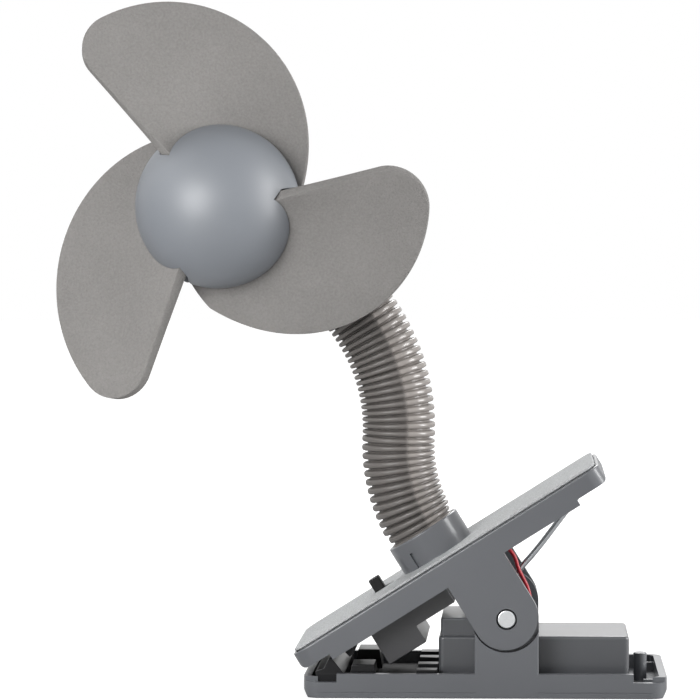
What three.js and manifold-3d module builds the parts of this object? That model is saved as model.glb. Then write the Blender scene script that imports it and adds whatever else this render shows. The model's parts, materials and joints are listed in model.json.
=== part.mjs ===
// Clip fan: a battery fan with three soft blades on a bendable ribbed neck, carried by a spring clip.
// Millimetres, +Z up. The origin is the centre of the lower jaw's bottom face, +X points to the
// clip's squeeze end, and the fan looks along -Y. The clip is closed and the switch is off.

import * as THREE from 'three';
import { mergeVertices } from 'three/addons/utils/BufferGeometryUtils.js';
import Module from 'manifold-3d';

const wasm = await Module();
wasm.setup();

// ---- Driving dimensions ----

// Clearances between pieces
const seatGap = 0.3;
const runningGap = 0.1;

// How far a cutting shape passes the face that it cuts, and how far a wall goes into its floor
const over = 1;
const sunk = 1;

// Both jaws
const clipWidth = 51;
const cornerRadius = 5;
const jawWall = 2.3;

// Lower jaw
const baseLength = 107;
const jawReach = 59.9;
const baseFloor = 2;
const baseSideHeight = 7.2;
const baseEndHeight = 5.4;
const baseEndLength = 10;
const baseEdgeBevel = 0.8;

// Hinge
const pivotZ = 23.4;
const pinRadius = 2.7;
const leverPinSlack = 0.4;
const baseEarRadius = 9.5;
const baseEarThickness = 3.1;
const leverEarRadius = 9.7;
const leverEarThickness = 3;
const leverEarRise = 0.8;
const seatRunningGap = 0.8;

// Cells and their housing
const cellRadius = 6.95;
const cellButtonRadius = 2.6;
const cellButtonLength = 1;
const contactThickness = 0.5;
const contactWidth = 9;
const contactEndGap = 1.2;
const contactSpringLength = 1.6;
const contactSpringRadius = 3.6;
const contactSpringTipRadius = 1.8;
const contactSpringTurns = 2;
const contactWireRadius = 0.25;
const housingReach = 20.4;
const housingEndGap = 10.6;
const housingWall = 1.6;
const housingTopWall = 1.6;
const housingCorner = 1.6;
const housingEdge = 0.7;
const webHalf = 1;
const webDrop = 3;
const doorThickness = 1.1;
const doorLip = 1;
const doorCorner = 1.2;
const doorTailLength = 7;
const blockSetback = 0.6;
const blockLength = 11.4;
const blockInset = 1.5;
const blockRise = 5.2;
const blockCorner = 1;
const blockEdge = 0.6;
const postRadius = 2;
const postHeight = 10.3;
const postInset = 6.8;
const postCapThickness = 2;
const screwShankRadius = 0.8;
const screwHeadRadius = 1.9;
const screwHeadHeight = 0.9;
const doorScrewHead = 0.5;
const doorScrewTipDepth = 3;
const screwSlotLength = 2.6;
const screwSlotWidth = 0.5;
const screwSlotDepth = 0.4;

// Upper jaw, in the lever's own frame: u along it, v square to its top plate
const leverTipHeight = 7.93;
const leverSqueezeEnd = 47.2;
const leverSideBottom = 17.1;
const leverEndBottom = 19;
const leverTipStep = 9.7;
const leverSqueezeStep = 10.8;
const leverCoverBottom = 23.9;
const leverTop = 25;
const leverEdgeBevel = 0.9;
const coverFlange = 1.2;
const springRestLength = 11;
const springRestWidth = 16;
const springRestThickness = 1.4;
const springRestDrop = 1;

// Neck socket
const socketU = -9.1;
const socketRadius = 11.85;
const socketHeight = 9.2;
const socketDepth = 6;
const socketEdge = 0.5;
const leadWayRadius = 6.8;
const anchorThickness = 2.4;

// Slide switch
const knobU = -29.6;
const knobLength = 3.3;
const knobWidth = 4;
const knobHeight = 4.3;
const knobCorner = 0.4;
const knobTravel = 3;
const switchLength = 11;
const switchWidth = 8;
const switchDepth = 5.6;

// Dark cover under the lever
const coverLeft = -37.5;
const coverStep = -24.5;
const coverRight = -11;
const coverDeepBottom = 6.1;
const coverShallowBottom = 11.7;
const coverWidth = 34;
const coverWall = 1.5;
const coverScrewU = -15;
const coverScrewY = 13.4;
const coverBossRadius = 1.8;
const coverScrewTipGap = 3;

// Grip pads, with the teeth measured along the jaw from each pad's end at the mouth
const lowerPadThickness = 1.4;
const toothInset = 0.4;
const toothFront = 0.6;
const toothShoulderEnd = 3;
const toothPeakStart = 4.5;
const toothPeakEnd = 5.5;
const toothFootStart = 9.1;
const toothEnd = 9.7;
const toothShoulderHeight = 7.6;
const toothShoulderRise = 0.8;
const toothPeakHeight = 11.2;
const toothFootHeight = 6.8;
const gripBlockStart = 9.9;
const gripBlockTopStart = 11.3;
const gripBlockTopEnd = 17.9;
const gripBlockEnd = 18.9;
const gripBlockInnerY = 10.5;
const gripBlockOuterY = 21.5;
const gripBlockHeight = 9.4;
const gripLedgeLength = 6.2;
const gripLedgeWidth = 4.8;
const gripLedgeInnerY = 7;
const gripLedgeOuterY = 19.5;
const gripLedgeHeight = 7.9;
const upperPadLength = 18;
const upperPadBottom = 18.6;
const fineToothStart = 0.8;
const fineToothPitch = 3.1;
const fineToothDepth = 1;
const fineToothCount = 3;
const upperToothStart = 10.4;
const upperToothPeakStart = 11.4;
const upperToothPeakEnd = 12.8;
const upperToothEnd = 14.6;
const upperToothBottom = 15;

// Clip spring
const springWireRadius = 0.9;
const springCoilRadius = 4.1;
const springTurns = 5;
const springPitch = 2.35;
const springLegEndU = 40;
const springLegEndV = 20.2;
const springFootLength = 7;

// Leads
const leadRadius = 0.6;
const redLeadY = -10.6;
const blackLeadY = -9;
const leadHoleReach = 7;
const leadCrossU = 6.5;
const leadCrossV = 19.6;
const leadBendU = 10;
const leadBendTopV = 17.3;
const leadBendBottomV = 9.6;
const leadBulgeU = 10.9;
const leadBulgeV = 14;
const leadDropRise = 6.1;
const leadDropInset = 0.4;
const redLeadStep = 3;
const redLeadShift = 4;
const redLeadV = 20;
const blackLeadStep = 1;
const blackLeadShift = 3;
const blackLeadV = 21.6;

// Neck
const neckCrestRadius = 10.4;
const neckValleyRadius = 9.2;
const neckBoreRadius = 8;
const neckRibPitch = 2.4;
const neckSides = 12;
const neckLowerArcRadius = 48;
const neckLowerArcAngle = -35;
const neckMiddleArcRadius = 57.5;
const neckMiddleArcAngle = 33.5;
const neckUpperArcRadius = 73;
const neckUpperArcAngle = 24.5;
const collarSocketDepth = 5;
const coreWireRadius = 1.2;
const neckLeadOffset = 5;
const neckTailLength = 3;

// Head
const hubReach = 27.91;
const hubReachAngle = 2.27;
const hubY = -25;
const headYaw = 6;
const hubRadius = 24.4;
const hubShell = 2.6;
const hubBack = 12.4;
const hubBossRadius = 4;
const hubBossEnd = 5;
const shaftRadius = 1;
const motorRadius = 10;
const motorLength = 19;
const motorCapRadius = 9;
const motorCapLength = 3;
const housingRadius = 19;
const housingShell = 1.7;
const housingFront = 13.2;
const housingBack = 41;
const housingBackRounding = 8;
const frontPlateThickness = 1.6;
const plateRecess = 0.2;
const bossOverlap = 2;
const motorEdge = 0.8;
const motorRingWall = 1.7;
const motorRingLength = 11.4;
const wireWayRadius = 7;
const collarRadius = 11.9;
const collarReach = 25;
const housingScrewOffset = 14.6;
const housingScrewDepth = 1.9;
const housingScrewTip = 14;
const housingBossRadius = 2.1;

// Blades
const bladeCount = 3;
const firstBladeAngle = 128.8;
const bladeRootRadius = 17;
const bladeInnerRadius = 13;
const bladeNotchRadius = 17.2;
const bladeLeadingSweep = 4.8;
const bladeLobeRadius = 40;
const bladeLobeOffset = 24.7;
const bladeLobeAngle = -3.6;
const bladeCornerRadius = 11.1;
const bladeSpan = 118;
const bladeFrontRise = 12.7;
const bladeBackDrop = 4.3;
const bladeCurl = 2.8;
const bladeTailBulge = 4.9;
const bladeTailStart = 0.55;
const bladeThickness = 3.3;
const hubFrontWallAngle = 3.6;
const hubRearWallAngle = 0.7;

// ---- Sizes that follow from them ----

const degrees = THREE.MathUtils.degToRad;
const inDegrees = THREE.MathUtils.radToDeg;

const halfWidth = clipWidth / 2;
const halfBase = baseLength / 2;
const pivotX = jawReach - halfBase;
const seatCentreZ = pivotZ + 0.7;
const seatRadius = leverEarRadius + seatRunningGap;
const baseEarOuterY = halfWidth - leverEarThickness - 0.4;
const leverEarInnerY = halfWidth - leverEarThickness;
const cellPitch = 2 * cellRadius + seatGap;
const bayHalfWidth = cellPitch / 2 + cellRadius + seatGap;
const housingHalfWidth = bayHalfWidth + housingWall;
const housingLeft = pivotX - housingReach;
const housingRight = halfBase - housingEndGap;
const bayLeft = housingLeft + housingWall;
const bayRight = housingRight - housingWall;
const contactInset = runningGap + contactThickness;
const cellBay = bayRight - bayLeft - 2 * contactInset;
const cellLength = cellBay - contactSpringLength - cellButtonLength - seatGap;
const cellBottom = doorThickness + seatGap;
const cellCentreZ = cellBottom + cellRadius;
const bayTop = cellBottom + 2 * cellRadius + seatGap;
const housingTop = bayTop + housingTopWall;
const blockLeft = housingLeft + blockSetback;
const blockRight = blockLeft + blockLength;
const blockTop = housingTop + blockRise;
const postX = halfBase - postInset;
const doorRight = housingRight + doorTailLength;
const leadHoleX = pivotX + leadHoleReach;
const leverTipEnd = seatGap - jawReach;
const frameTop = leverCoverBottom - seatGap;
// The tilt that brings the lever's tip down to its height over the lower jaw
const tipDistance = Math.hypot(leverTipEnd, leverEndBottom);
const leverTilt = inDegrees(Math.asin((pivotZ - leverTipHeight) / tipDistance)
  + Math.atan2(leverEndBottom, -leverTipEnd));
const coverUnderside = leverCoverBottom - coverFlange;
const socketTop = leverTop + socketHeight;
const socketBore = neckCrestRadius + 0.4;
const neckStartV = socketTop - socketDepth;
const coverScrewCentres = [[coverScrewU, coverScrewY], [coverScrewU, -coverScrewY]];
const anchorTop = neckStartV - seatGap;
const knobOffset = knobU + knobTravel / 2;
const collarBore = neckCrestRadius + 0.4;

// ---- Materials ----

function finish(color, roughness, metalness = 0) {
  return new THREE.MeshStandardMaterial({ color, roughness, metalness });
}

const greyPlastic = finish(0x696b6f, 0.45);
const texturedPlastic = finish(0x8b8d8e, 0.8);
const darkPlastic = finish(0x3d3e40, 0.5);
const blackRubber = finish(0x17181a, 0.35);
const neckPlastic = finish(0x8c8884, 0.4);
const hubPlastic = finish(0x82878e, 0.45);
const bladeFoam = finish(0x969592, 0.95);
const steel = finish(0xc9ccce, 0.3, 1);
const brightWire = finish(0xb5b8ba, 0.25, 1);
const nickel = finish(0xbfc0bd, 0.35, 1);
const cellJacket = finish(0x8f9498, 0.4, 0.6);
const redPvc = finish(0xc2273a, 0.45);
const blackPvc = finish(0x1d1d1f, 0.45);

// ---- Tools for solids ----


// A closed geometry becomes a solid: vertices are merged and flat triangles are dropped.
function solid(geometry) {
  const bare = geometry.clone();
  bare.deleteAttribute('normal');
  bare.deleteAttribute('uv');
  const merged = mergeVertices(bare, 1e-4);
  const position = merged.attributes.position;
  const corners = [];
  let volume = 0;
  const [a, b, c] = [new THREE.Vector3(), new THREE.Vector3(), new THREE.Vector3()];
  for (let i = 0; i < merged.index.count; i += 3) {
    const face = [0, 1, 2].map((k) => merged.index.getX(i + k));
    if (new Set(face).size < 3) continue;
    corners.push(...face);
    a.fromBufferAttribute(position, face[0]);
    b.fromBufferAttribute(position, face[1]);
    c.fromBufferAttribute(position, face[2]);
    volume += a.dot(b.cross(c));
  }
  if (volume < 0) corners.reverse();
  const vertProperties = new Float32Array(position.array);
  const triVerts = new Uint32Array(corners);
  return new wasm.Manifold(new wasm.Mesh({ numProp: 3, vertProperties, triVerts }));
}

function join(first, ...others) {
  return others.reduce((whole, next) => whole.add(next), first);
}

function cut(first, ...others) {
  return others.reduce((whole, next) => whole.subtract(next), first);
}

function piece(name, shape, material, parent) {
  const source = shape.getMesh();
  const geometry = new THREE.BufferGeometry();
  geometry.setAttribute('position', new THREE.BufferAttribute(source.vertProperties, 3));
  geometry.setIndex(new THREE.BufferAttribute(source.triVerts, 1));
  geometry.computeVertexNormals();
  const mesh = new THREE.Mesh(geometry, material);
  mesh.name = name;
  parent.add(mesh);
  return mesh;
}

function box(low, high) {
  const size = high.map((value, i) => value - low[i]);
  const geometry = new THREE.BoxGeometry(...size);
  geometry.translate(...high.map((value, i) => (value + low[i]) / 2));
  return solid(geometry);
}

// A round bar from one end to the other along x, y or z.
function bar(axis, radius, low, high, centre = [0, 0], sides = 24, endRadius = radius) {
  const geometry = new THREE.CylinderGeometry(endRadius, radius, high - low, sides);
  if (axis === 'x') geometry.rotateZ(-Math.PI / 2);
  if (axis === 'z') geometry.rotateX(Math.PI / 2);
  const middle = (low + high) / 2;
  if (axis === 'x') geometry.translate(middle, ...centre);
  if (axis === 'y') geometry.translate(centre[0], middle, centre[1]);
  if (axis === 'z') geometry.translate(...centre, middle);
  return solid(geometry);
}

function roundedPlan(left, right, near, far, radius) {
  const shape = new THREE.Shape();
  shape.moveTo(left + radius, near);
  shape.lineTo(right - radius, near);
  shape.absarc(right - radius, near + radius, radius, -Math.PI / 2, 0);
  shape.lineTo(right, far - radius);
  shape.absarc(right - radius, far - radius, radius, 0, Math.PI / 2);
  shape.lineTo(left + radius, far);
  shape.absarc(left + radius, far - radius, radius, Math.PI / 2, Math.PI);
  shape.lineTo(left, near + radius);
  shape.absarc(left + radius, near + radius, radius, Math.PI, Math.PI * 1.5);
  return shape;
}

// A plan extruded upwards, with its bottom or top edge rounded off by a bevel.
function slab(left, right, near, far, low, high, radius, { bottom = 0, top = 0 } = {}) {
  const bevel = Math.max(bottom, top);
  const shape = roundedPlan(left, right, near, far, radius);
  const from = bottom ? low : low - bevel;
  const to = top ? high : high + bevel;
  const geometry = new THREE.ExtrudeGeometry(shape, {
    depth: to - from - 2 * bevel,
    bevelEnabled: bevel > 0,
    bevelSize: bevel,
    bevelOffset: -bevel,
    bevelThickness: bevel,
    bevelSegments: 2,
    curveSegments: 4,
  });
  geometry.translate(0, 0, from + bevel);
  const tall = solid(geometry);
  if (bevel === 0) return tall;
  const reach = 1;
  const keep = box([left - reach, near - reach, low], [right + reach, far + reach, high]);
  return tall.intersect(keep);
}

// An outline in x and z, extruded along y.
function profile(outline, near, far) {
  const shape = outline instanceof THREE.Shape ? outline
    : new THREE.Shape(outline.map((point) => new THREE.Vector2(...point)));
  const options = { depth: far - near, bevelEnabled: false, curveSegments: 16 };
  const geometry = new THREE.ExtrudeGeometry(shape, options);
  geometry.rotateX(Math.PI / 2);
  geometry.translate(0, far, 0);
  return solid(geometry);
}

// A tube of one round section along points.
function tube(points, radius, sides, steps) {
  const path = new THREE.CatmullRomCurve3(points, false, 'centripetal');
  const section = new THREE.Shape();
  for (let i = 0; i < sides; i++) {
    const angle = (2 * Math.PI * i) / sides;
    const [x, y] = [radius * Math.cos(angle), radius * Math.sin(angle)];
    if (i === 0) section.moveTo(x, y);
    else section.lineTo(x, y);
  }
  section.closePath();
  return solid(new THREE.ExtrudeGeometry(section, { extrudePath: path, steps, bevelEnabled: false }));
}

// Rings of equal count joined in order, and the last one to the first: a closed skin.
function ringSkin(rings) {
  const count = rings[0].length;
  const positions = rings.flat().flatMap((p) => [p.x, p.y, p.z]);
  const index = [];
  for (let i = 0; i < rings.length; i++) {
    const next = (i + 1) % rings.length;
    for (let k = 0; k < count; k++) {
      const side = (k + 1) % count;
      const corners = [i * count + k, i * count + side, next * count + side, next * count + k];
      index.push(corners[0], corners[1], corners[2], corners[0], corners[2], corners[3]);
    }
  }
  const geometry = new THREE.BufferGeometry();
  geometry.setAttribute('position', new THREE.Float32BufferAttribute(positions, 3));
  geometry.setIndex(index);
  return solid(geometry);
}

// A grid of top points and one of bottom points, rows by columns, closed round their edges.
function gridSlab(top, bottom) {
  const rows = top.length;
  const columns = top[0].length;
  const positions = [...top.flat(), ...bottom.flat()].flatMap((p) => [p.x, p.y, p.z]);
  const at = (layer, row, column) => layer * rows * columns + row * columns + column;
  const index = [];
  const quad = (a, b, c, d) => index.push(a, b, c, a, c, d);
  for (let i = 0; i + 1 < rows; i++) {
    for (let j = 0; j + 1 < columns; j++) {
      quad(at(0, i, j), at(0, i, j + 1), at(0, i + 1, j + 1), at(0, i + 1, j));
      quad(at(1, i, j), at(1, i + 1, j), at(1, i + 1, j + 1), at(1, i, j + 1));
    }
  }
  for (let j = 0; j + 1 < columns; j++) {
    quad(at(0, 0, j), at(1, 0, j), at(1, 0, j + 1), at(0, 0, j + 1));
    quad(at(0, rows - 1, j), at(0, rows - 1, j + 1), at(1, rows - 1, j + 1), at(1, rows - 1, j));
  }
  for (let i = 0; i + 1 < rows; i++) {
    quad(at(0, i, 0), at(0, i + 1, 0), at(1, i + 1, 0), at(1, i, 0));
    quad(at(0, i, columns - 1), at(1, i, columns - 1), at(1, i + 1, columns - 1), at(0, i + 1, columns - 1));
  }
  const geometry = new THREE.BufferGeometry();
  geometry.setAttribute('position', new THREE.Float32BufferAttribute(positions, 3));
  geometry.setIndex(index);
  return solid(geometry);
}

// ---- Frames ----

const clipFan = new THREE.Group();

const lever = new THREE.Group();
lever.position.set(pivotX, 0, pivotZ);
lever.rotation.y = -degrees(leverTilt);
lever.updateMatrix();
clipFan.add(lever);

function leverPoint(u, y, v) {
  return new THREE.Vector3(u, y, v).applyMatrix4(lever.matrix);
}

// ---- Lower jaw ----

// A plate with a round top about the pivot, which stands on the jaw's floor.
function earOutline(centreX, radius, centreZ, bottom) {
  const shape = new THREE.Shape();
  shape.moveTo(centreX + radius, bottom);
  shape.lineTo(centreX + radius, centreZ);
  shape.absarc(centreX, centreZ, radius, 0, Math.PI);
  shape.lineTo(centreX - radius, bottom);
  return shape;
}

function bothSides(make) {
  return [make(1), make(-1)];
}

function sideBand(side, inner, outer) {
  return side > 0 ? [inner, outer] : [-outer, -inner];
}

function baseTray() {
  const inner = halfWidth - jawWall;
  const shell = slab(-halfBase, halfBase, -halfWidth, halfWidth, 0, baseSideHeight, cornerRadius, {
    bottom: baseEdgeBevel,
  });
  const innerEnd = halfBase - jawWall;
  const pocket = slab(-innerEnd, innerEnd, -inner, inner, baseFloor, baseSideHeight + over,
    cornerRadius - jawWall);
  const stepX = halfBase - baseEndLength;
  const endSteps = [[-halfBase - over, -stepX], [stepX, halfBase + over]].map(([left, right]) =>
    box([left, -halfWidth - over, baseEndHeight], [right, halfWidth + over, baseSideHeight + over]));
  const uprights = bothSides((side) => {
    const [near, far] = sideBand(side, baseEarOuterY, halfWidth);
    return box([pivotX - baseEarRadius, near, sunk], [pivotX + baseEarRadius, far, pivotZ]);
  });
  const seats = bothSides((side) => {
    const [near, far] = sideBand(side, baseEarOuterY, halfWidth + over);
    return bar('y', seatRadius, near, far, [pivotX, seatCentreZ], 48);
  });
  const ears = bothSides((side) => {
    const [near, far] = sideBand(side, baseEarOuterY - baseEarThickness, baseEarOuterY);
    return profile(earOutline(pivotX, baseEarRadius, pivotZ, sunk), near, far);
  });
  const webs = bothSides((side) => {
    const [near, far] = sideBand(side, housingHalfWidth - sunk, baseEarOuterY - sunk);
    return box([pivotX - webHalf, near, sunk], [pivotX + webHalf, far, housingTop - webDrop]);
  });
  const housing = slab(housingLeft, housingRight, -housingHalfWidth, housingHalfWidth, sunk, housingTop,
    housingCorner, { top: housingEdge });
  const blockHalf = housingHalfWidth - blockInset;
  const block = slab(blockLeft, blockRight, -blockHalf, blockHalf, bayTop, blockTop, blockCorner,
    { top: blockEdge });
  const blockPocket = box([blockLeft + housingWall, -blockHalf + housingWall, bayTop - over],
    [blockRight - housingWall, blockHalf - housingWall, blockTop - housingWall]);
  const post = bar('z', postRadius, sunk, postHeight, [postX, 0], 20);
  const bay = box([bayLeft, -bayHalfWidth, -over], [bayRight, bayHalfWidth, bayTop]);
  const doorHalf = bayHalfWidth + doorLip + seatGap;
  const doorRecess = slab(bayLeft - doorLip - seatGap, doorRight + seatGap, -doorHalf, doorHalf, -over,
    doorThickness + runningGap, doorCorner + seatGap);
  const screwHoleTop = postHeight - postCapThickness;
  const screwHole = bar('z', screwShankRadius + runningGap, -over, screwHoleTop, [postX, 0], 12);
  const pinEnd = baseEarOuterY + runningGap;
  const pinHole = bar('y', pinRadius + runningGap, -pinEnd, pinEnd, [pivotX, pivotZ], 32);
  const leadHoles = [redLeadY, blackLeadY].map((y) =>
    bar('z', leadRadius + seatGap, bayTop - over, housingTop + over, [leadHoleX, y], 10));
  const walls = join(cut(shell, pocket, ...endSteps), ...uprights);
  const tray = join(cut(walls, ...seats), ...ears, ...webs, housing, block, post);
  return cut(tray, bay, blockPocket, doorRecess, screwHole, pinHole, ...leadHoles);
}

function lowerGripPad() {
  const low = baseFloor + seatGap;
  const reach = halfWidth - jawWall - seatGap;
  const left = -halfBase + jawWall + seatGap;
  const right = housingLeft - seatGap;
  const plate = slab(left, right, -reach, reach, low, low + lowerPadThickness, cornerRadius - jawWall);
  const tooth = profile([
    [left + toothFront, low],
    [left + toothFront, toothShoulderHeight],
    [left + toothShoulderEnd, toothShoulderHeight + toothShoulderRise],
    [left + toothPeakStart, toothPeakHeight],
    [left + toothPeakEnd, toothPeakHeight],
    [left + toothFootStart, toothFootHeight],
    [left + toothEnd, low],
  ], -reach + toothInset, reach - toothInset);
  const blocks = bothSides((side) => {
    const [near, far] = sideBand(side, gripBlockInnerY, gripBlockOuterY);
    return profile([
      [left + gripBlockStart, low],
      [left + gripBlockTopStart, gripBlockHeight],
      [left + gripBlockTopEnd, gripBlockHeight],
      [left + gripBlockEnd, low],
    ], near, far);
  });
  const ledgeHalf = gripLedgeWidth / 2;
  const ledges = [-gripLedgeOuterY, -gripLedgeInnerY, gripLedgeInnerY, gripLedgeOuterY].map((y) =>
    box([right - gripLedgeLength, y - ledgeHalf, low], [right, y + ledgeHalf, gripLedgeHeight]));
  return join(plate, tooth, ...blocks, ...ledges);
}

function batteryCell() {
  const can = bar('x', cellRadius, 0, cellLength, [0, 0], 24);
  const button = bar('x', cellButtonRadius, cellLength - sunk, cellLength + cellButtonLength, [0, 0], 12);
  return join(can, button);
}

function contactPlate(width) {
  const bottom = cellBottom + contactEndGap;
  return box([0, -width / 2, bottom], [contactThickness, width / 2, bayTop - contactEndGap]);
}

// A small tapered coil between a contact and the flat end of a cell, along x.
function contactSpring() {
  const steps = contactSpringTurns * 8;
  const travel = contactSpringLength - 3 * runningGap - 2 * contactWireRadius;
  const points = [];
  for (let i = 0; i <= steps; i++) {
    const share = i / steps;
    const angle = 2 * Math.PI * contactSpringTurns * share;
    const radius = contactSpringRadius + (contactSpringTipRadius - contactSpringRadius) * share;
    const along = contactWireRadius + travel * share;
    points.push(new THREE.Vector3(along, radius * Math.cos(angle), radius * Math.sin(angle)));
  }
  return tube(points, contactWireRadius, 5, 2 * steps);
}

function batteryDoor() {
  const half = bayHalfWidth + doorLip;
  const plate = slab(bayLeft - doorLip, doorRight, -half, half, 0, doorThickness, doorCorner);
  const headRoom = doorScrewHead + 2 * runningGap;
  const counterbore = bar('z', screwHeadRadius + runningGap, -over, headRoom, [postX, 0], 20);
  const hole = bar('z', screwShankRadius + runningGap, -over, doorThickness + over, [postX, 0], 12);
  return cut(plate, counterbore, hole);
}

function doorScrew() {
  const tip = postHeight - doorScrewTipDepth;
  const headTop = runningGap + doorScrewHead;
  const headDisc = bar('z', screwHeadRadius, runningGap, headTop, [postX, 0], 16);
  const shank = bar('z', screwShankRadius, headTop - runningGap, tip, [postX, 0], 12);
  return cut(join(headDisc, shank), box(
    [postX - screwSlotLength / 2, -screwSlotWidth / 2, -over],
    [postX + screwSlotLength / 2, screwSlotWidth / 2, runningGap + doorScrewHead / 2]));
}

function hingePin() {
  const end = halfWidth - leverPinSlack;
  return bar('y', pinRadius, -end, end, [pivotX, pivotZ], 32);
}

// ---- Clip spring ----

// One wire: a leg under the lever, turns round the hinge pin, and a short foot on the housing.
function clipSpringPoints() {
  const legEnd = leverPoint(springLegEndU, 0, springLegEndV);
  const reach = Math.hypot(legEnd.x - pivotX, legEnd.z - pivotZ);
  const bearing = Math.atan2(legEnd.z - pivotZ, legEnd.x - pivotX);
  const start = bearing + Math.acos(springCoilRadius / reach);
  const foot = -Math.PI / 2;
  const sweep = 2 * Math.PI * springTurns + ((start - foot) % (2 * Math.PI));
  const steps = Math.round(sweep / (Math.PI / 4));
  const half = (springPitch * sweep) / (4 * Math.PI);
  legEnd.y = -half;
  const points = [];
  for (let i = 0; i <= steps; i++) {
    const share = i / steps;
    const angle = start + sweep * -share;
    points.push(new THREE.Vector3(
      pivotX + springCoilRadius * Math.cos(angle), -half + 2 * half * share,
      pivotZ + springCoilRadius * Math.sin(angle)));
  }
  return { legEnd, points, steps };
}

// The least distance between stretches of the wire that are more than half a turn apart.
function leastSelfGap(points, wireRadius, apart) {
  let least = Infinity;
  for (let i = 0; i < points.length; i++) {
    for (let k = i + apart; k < points.length; k++) {
      least = Math.min(least, points[i].distanceTo(points[k]) - 2 * wireRadius);
    }
  }
  return least;
}

function clipSpring() {
  const { legEnd, points, steps } = clipSpringPoints();
  const last = points[points.length - 1];
  const foot = new THREE.Vector3(last.x - springFootLength, last.y, housingTop + springWireRadius + seatGap);
  const legMiddle = legEnd.clone().lerp(points[0], 0.5);
  const footMiddle = foot.clone().lerp(last, 0.5);
  const route = [legEnd, legMiddle, ...points, footMiddle, foot];
  const gap = leastSelfGap(points, springWireRadius, 5);
  console.log(`clip spring: least gap to itself ${gap.toFixed(2)} mm`);
  return tube(route, springWireRadius, 5, steps + 14);
}

// ---- Upper jaw ----

function leverFrame() {
  const outer = slab(leverTipEnd, leverSqueezeEnd, -halfWidth, halfWidth, leverSideBottom, frameTop,
    cornerRadius);
  const inner = halfWidth - jawWall;
  const pocket = slab(leverTipEnd + jawWall, leverSqueezeEnd - jawWall, -inner, inner, leverSideBottom - over,
    frameTop + over, cornerRadius - jawWall);
  const endCuts = [
    [leverTipEnd - over, leverTipEnd + leverTipStep],
    [leverSqueezeEnd - leverSqueezeStep, leverSqueezeEnd + over],
  ].map(([left, right]) =>
    box([left, -halfWidth - over, leverSideBottom - over], [right, halfWidth + over, leverEndBottom]));
  const earTop = leverSideBottom + 2 * sunk;
  const ears = bothSides((side) => {
    const [near, far] = sideBand(side, leverEarInnerY, halfWidth);
    const shape = new THREE.Shape();
    shape.moveTo(-leverEarRadius, earTop);
    shape.lineTo(-leverEarRadius, leverEarRise);
    shape.absarc(0, leverEarRise, leverEarRadius, Math.PI, 2 * Math.PI);
    shape.lineTo(leverEarRadius, earTop);
    return profile(shape, near, far);
  });
  const pinHole = bar('y', pinRadius + leverPinSlack, -halfWidth - over, halfWidth + over, [0, 0], 32);
  const restEnd = leverSqueezeEnd - jawWall;
  const restTop = frameTop - springRestDrop;
  const springRest = box([restEnd - springRestLength, -springRestWidth / 2, restTop - springRestThickness],
    [restEnd + sunk, springRestWidth / 2, restTop]);
  return cut(join(cut(outer, pocket, ...endCuts), ...ears, springRest), pinHole);
}

function leverTopCover() {
  const plate = slab(leverTipEnd, leverSqueezeEnd, -halfWidth, halfWidth, leverCoverBottom, leverTop,
    cornerRadius, { top: leverEdgeBevel });
  const inset = jawWall + seatGap;
  const flange = slab(leverTipEnd + inset, leverSqueezeEnd - inset, -halfWidth + inset, halfWidth - inset,
    coverUnderside, leverTop - socketEdge, cornerRadius - jawWall);
  const rimBottom = socketTop - socketEdge;
  const socket = bar('z', socketRadius, leverTop - socketEdge, rimBottom, [socketU, 0], 36);
  const socketRim = bar('z', socketRadius, rimBottom, socketTop, [socketU, 0], 36, socketRadius - socketEdge);
  const bore = bar('z', socketBore, leverTop + runningGap, socketTop + over, [socketU, 0], 28);
  const leadWay = bar('z', leadWayRadius, coverUnderside - over, leverTop + over, [socketU, 0], 24);
  const slotHalfLength = (knobLength + knobTravel) / 2 + seatGap;
  const slotHalfWidth = knobWidth / 2 + seatGap;
  const slot = box([knobOffset - slotHalfLength, -slotHalfWidth, coverUnderside - over],
    [knobOffset + slotHalfLength, slotHalfWidth, leverTop + over]);
  const bossBottom = coverShallowBottom + coverWall + seatGap;
  const bosses = coverScrewCentres.map((centre) =>
    bar('z', coverBossRadius, bossBottom, leverCoverBottom, centre, 16));
  const bossHoles = coverScrewCentres.map((centre) =>
    bar('z', screwShankRadius + runningGap, coverShallowBottom, coverUnderside - over, centre, 12));
  return cut(join(plate, flange, socket, socketRim, ...bosses), bore, leadWay, slot, ...bossHoles);
}

// The stepped outline of the inner cover, drawn in by a wall where it is the inside.
function innerCoverOutline(wall, top) {
  return [
    [coverLeft + wall, coverDeepBottom + wall],
    [coverStep - wall, coverDeepBottom + wall],
    [coverStep - wall, coverShallowBottom + wall],
    [coverRight - wall, coverShallowBottom + wall],
    [coverRight - wall, top],
    [coverLeft + wall, top],
  ];
}

function innerCover() {
  const half = coverWidth / 2;
  const top = coverUnderside - seatGap;
  const outer = profile(innerCoverOutline(0, top), -half, half);
  const inner = profile(innerCoverOutline(coverWall, top + over), -half + coverWall, half - coverWall);
  const notchEdge = 2 * leadRadius;
  const leadNotch = box([coverRight - coverWall - over, redLeadY - notchEdge, redLeadV - coverWall],
    [coverRight + over, blackLeadY + notchEdge, top + over]);
  const holeBottom = coverShallowBottom - over;
  const holeTop = coverShallowBottom + coverWall + over;
  const screwHoles = coverScrewCentres.map((centre) =>
    bar('z', screwShankRadius + runningGap, holeBottom, holeTop, centre, 12));
  return cut(outer, inner, leadNotch, ...screwHoles);
}

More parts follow.
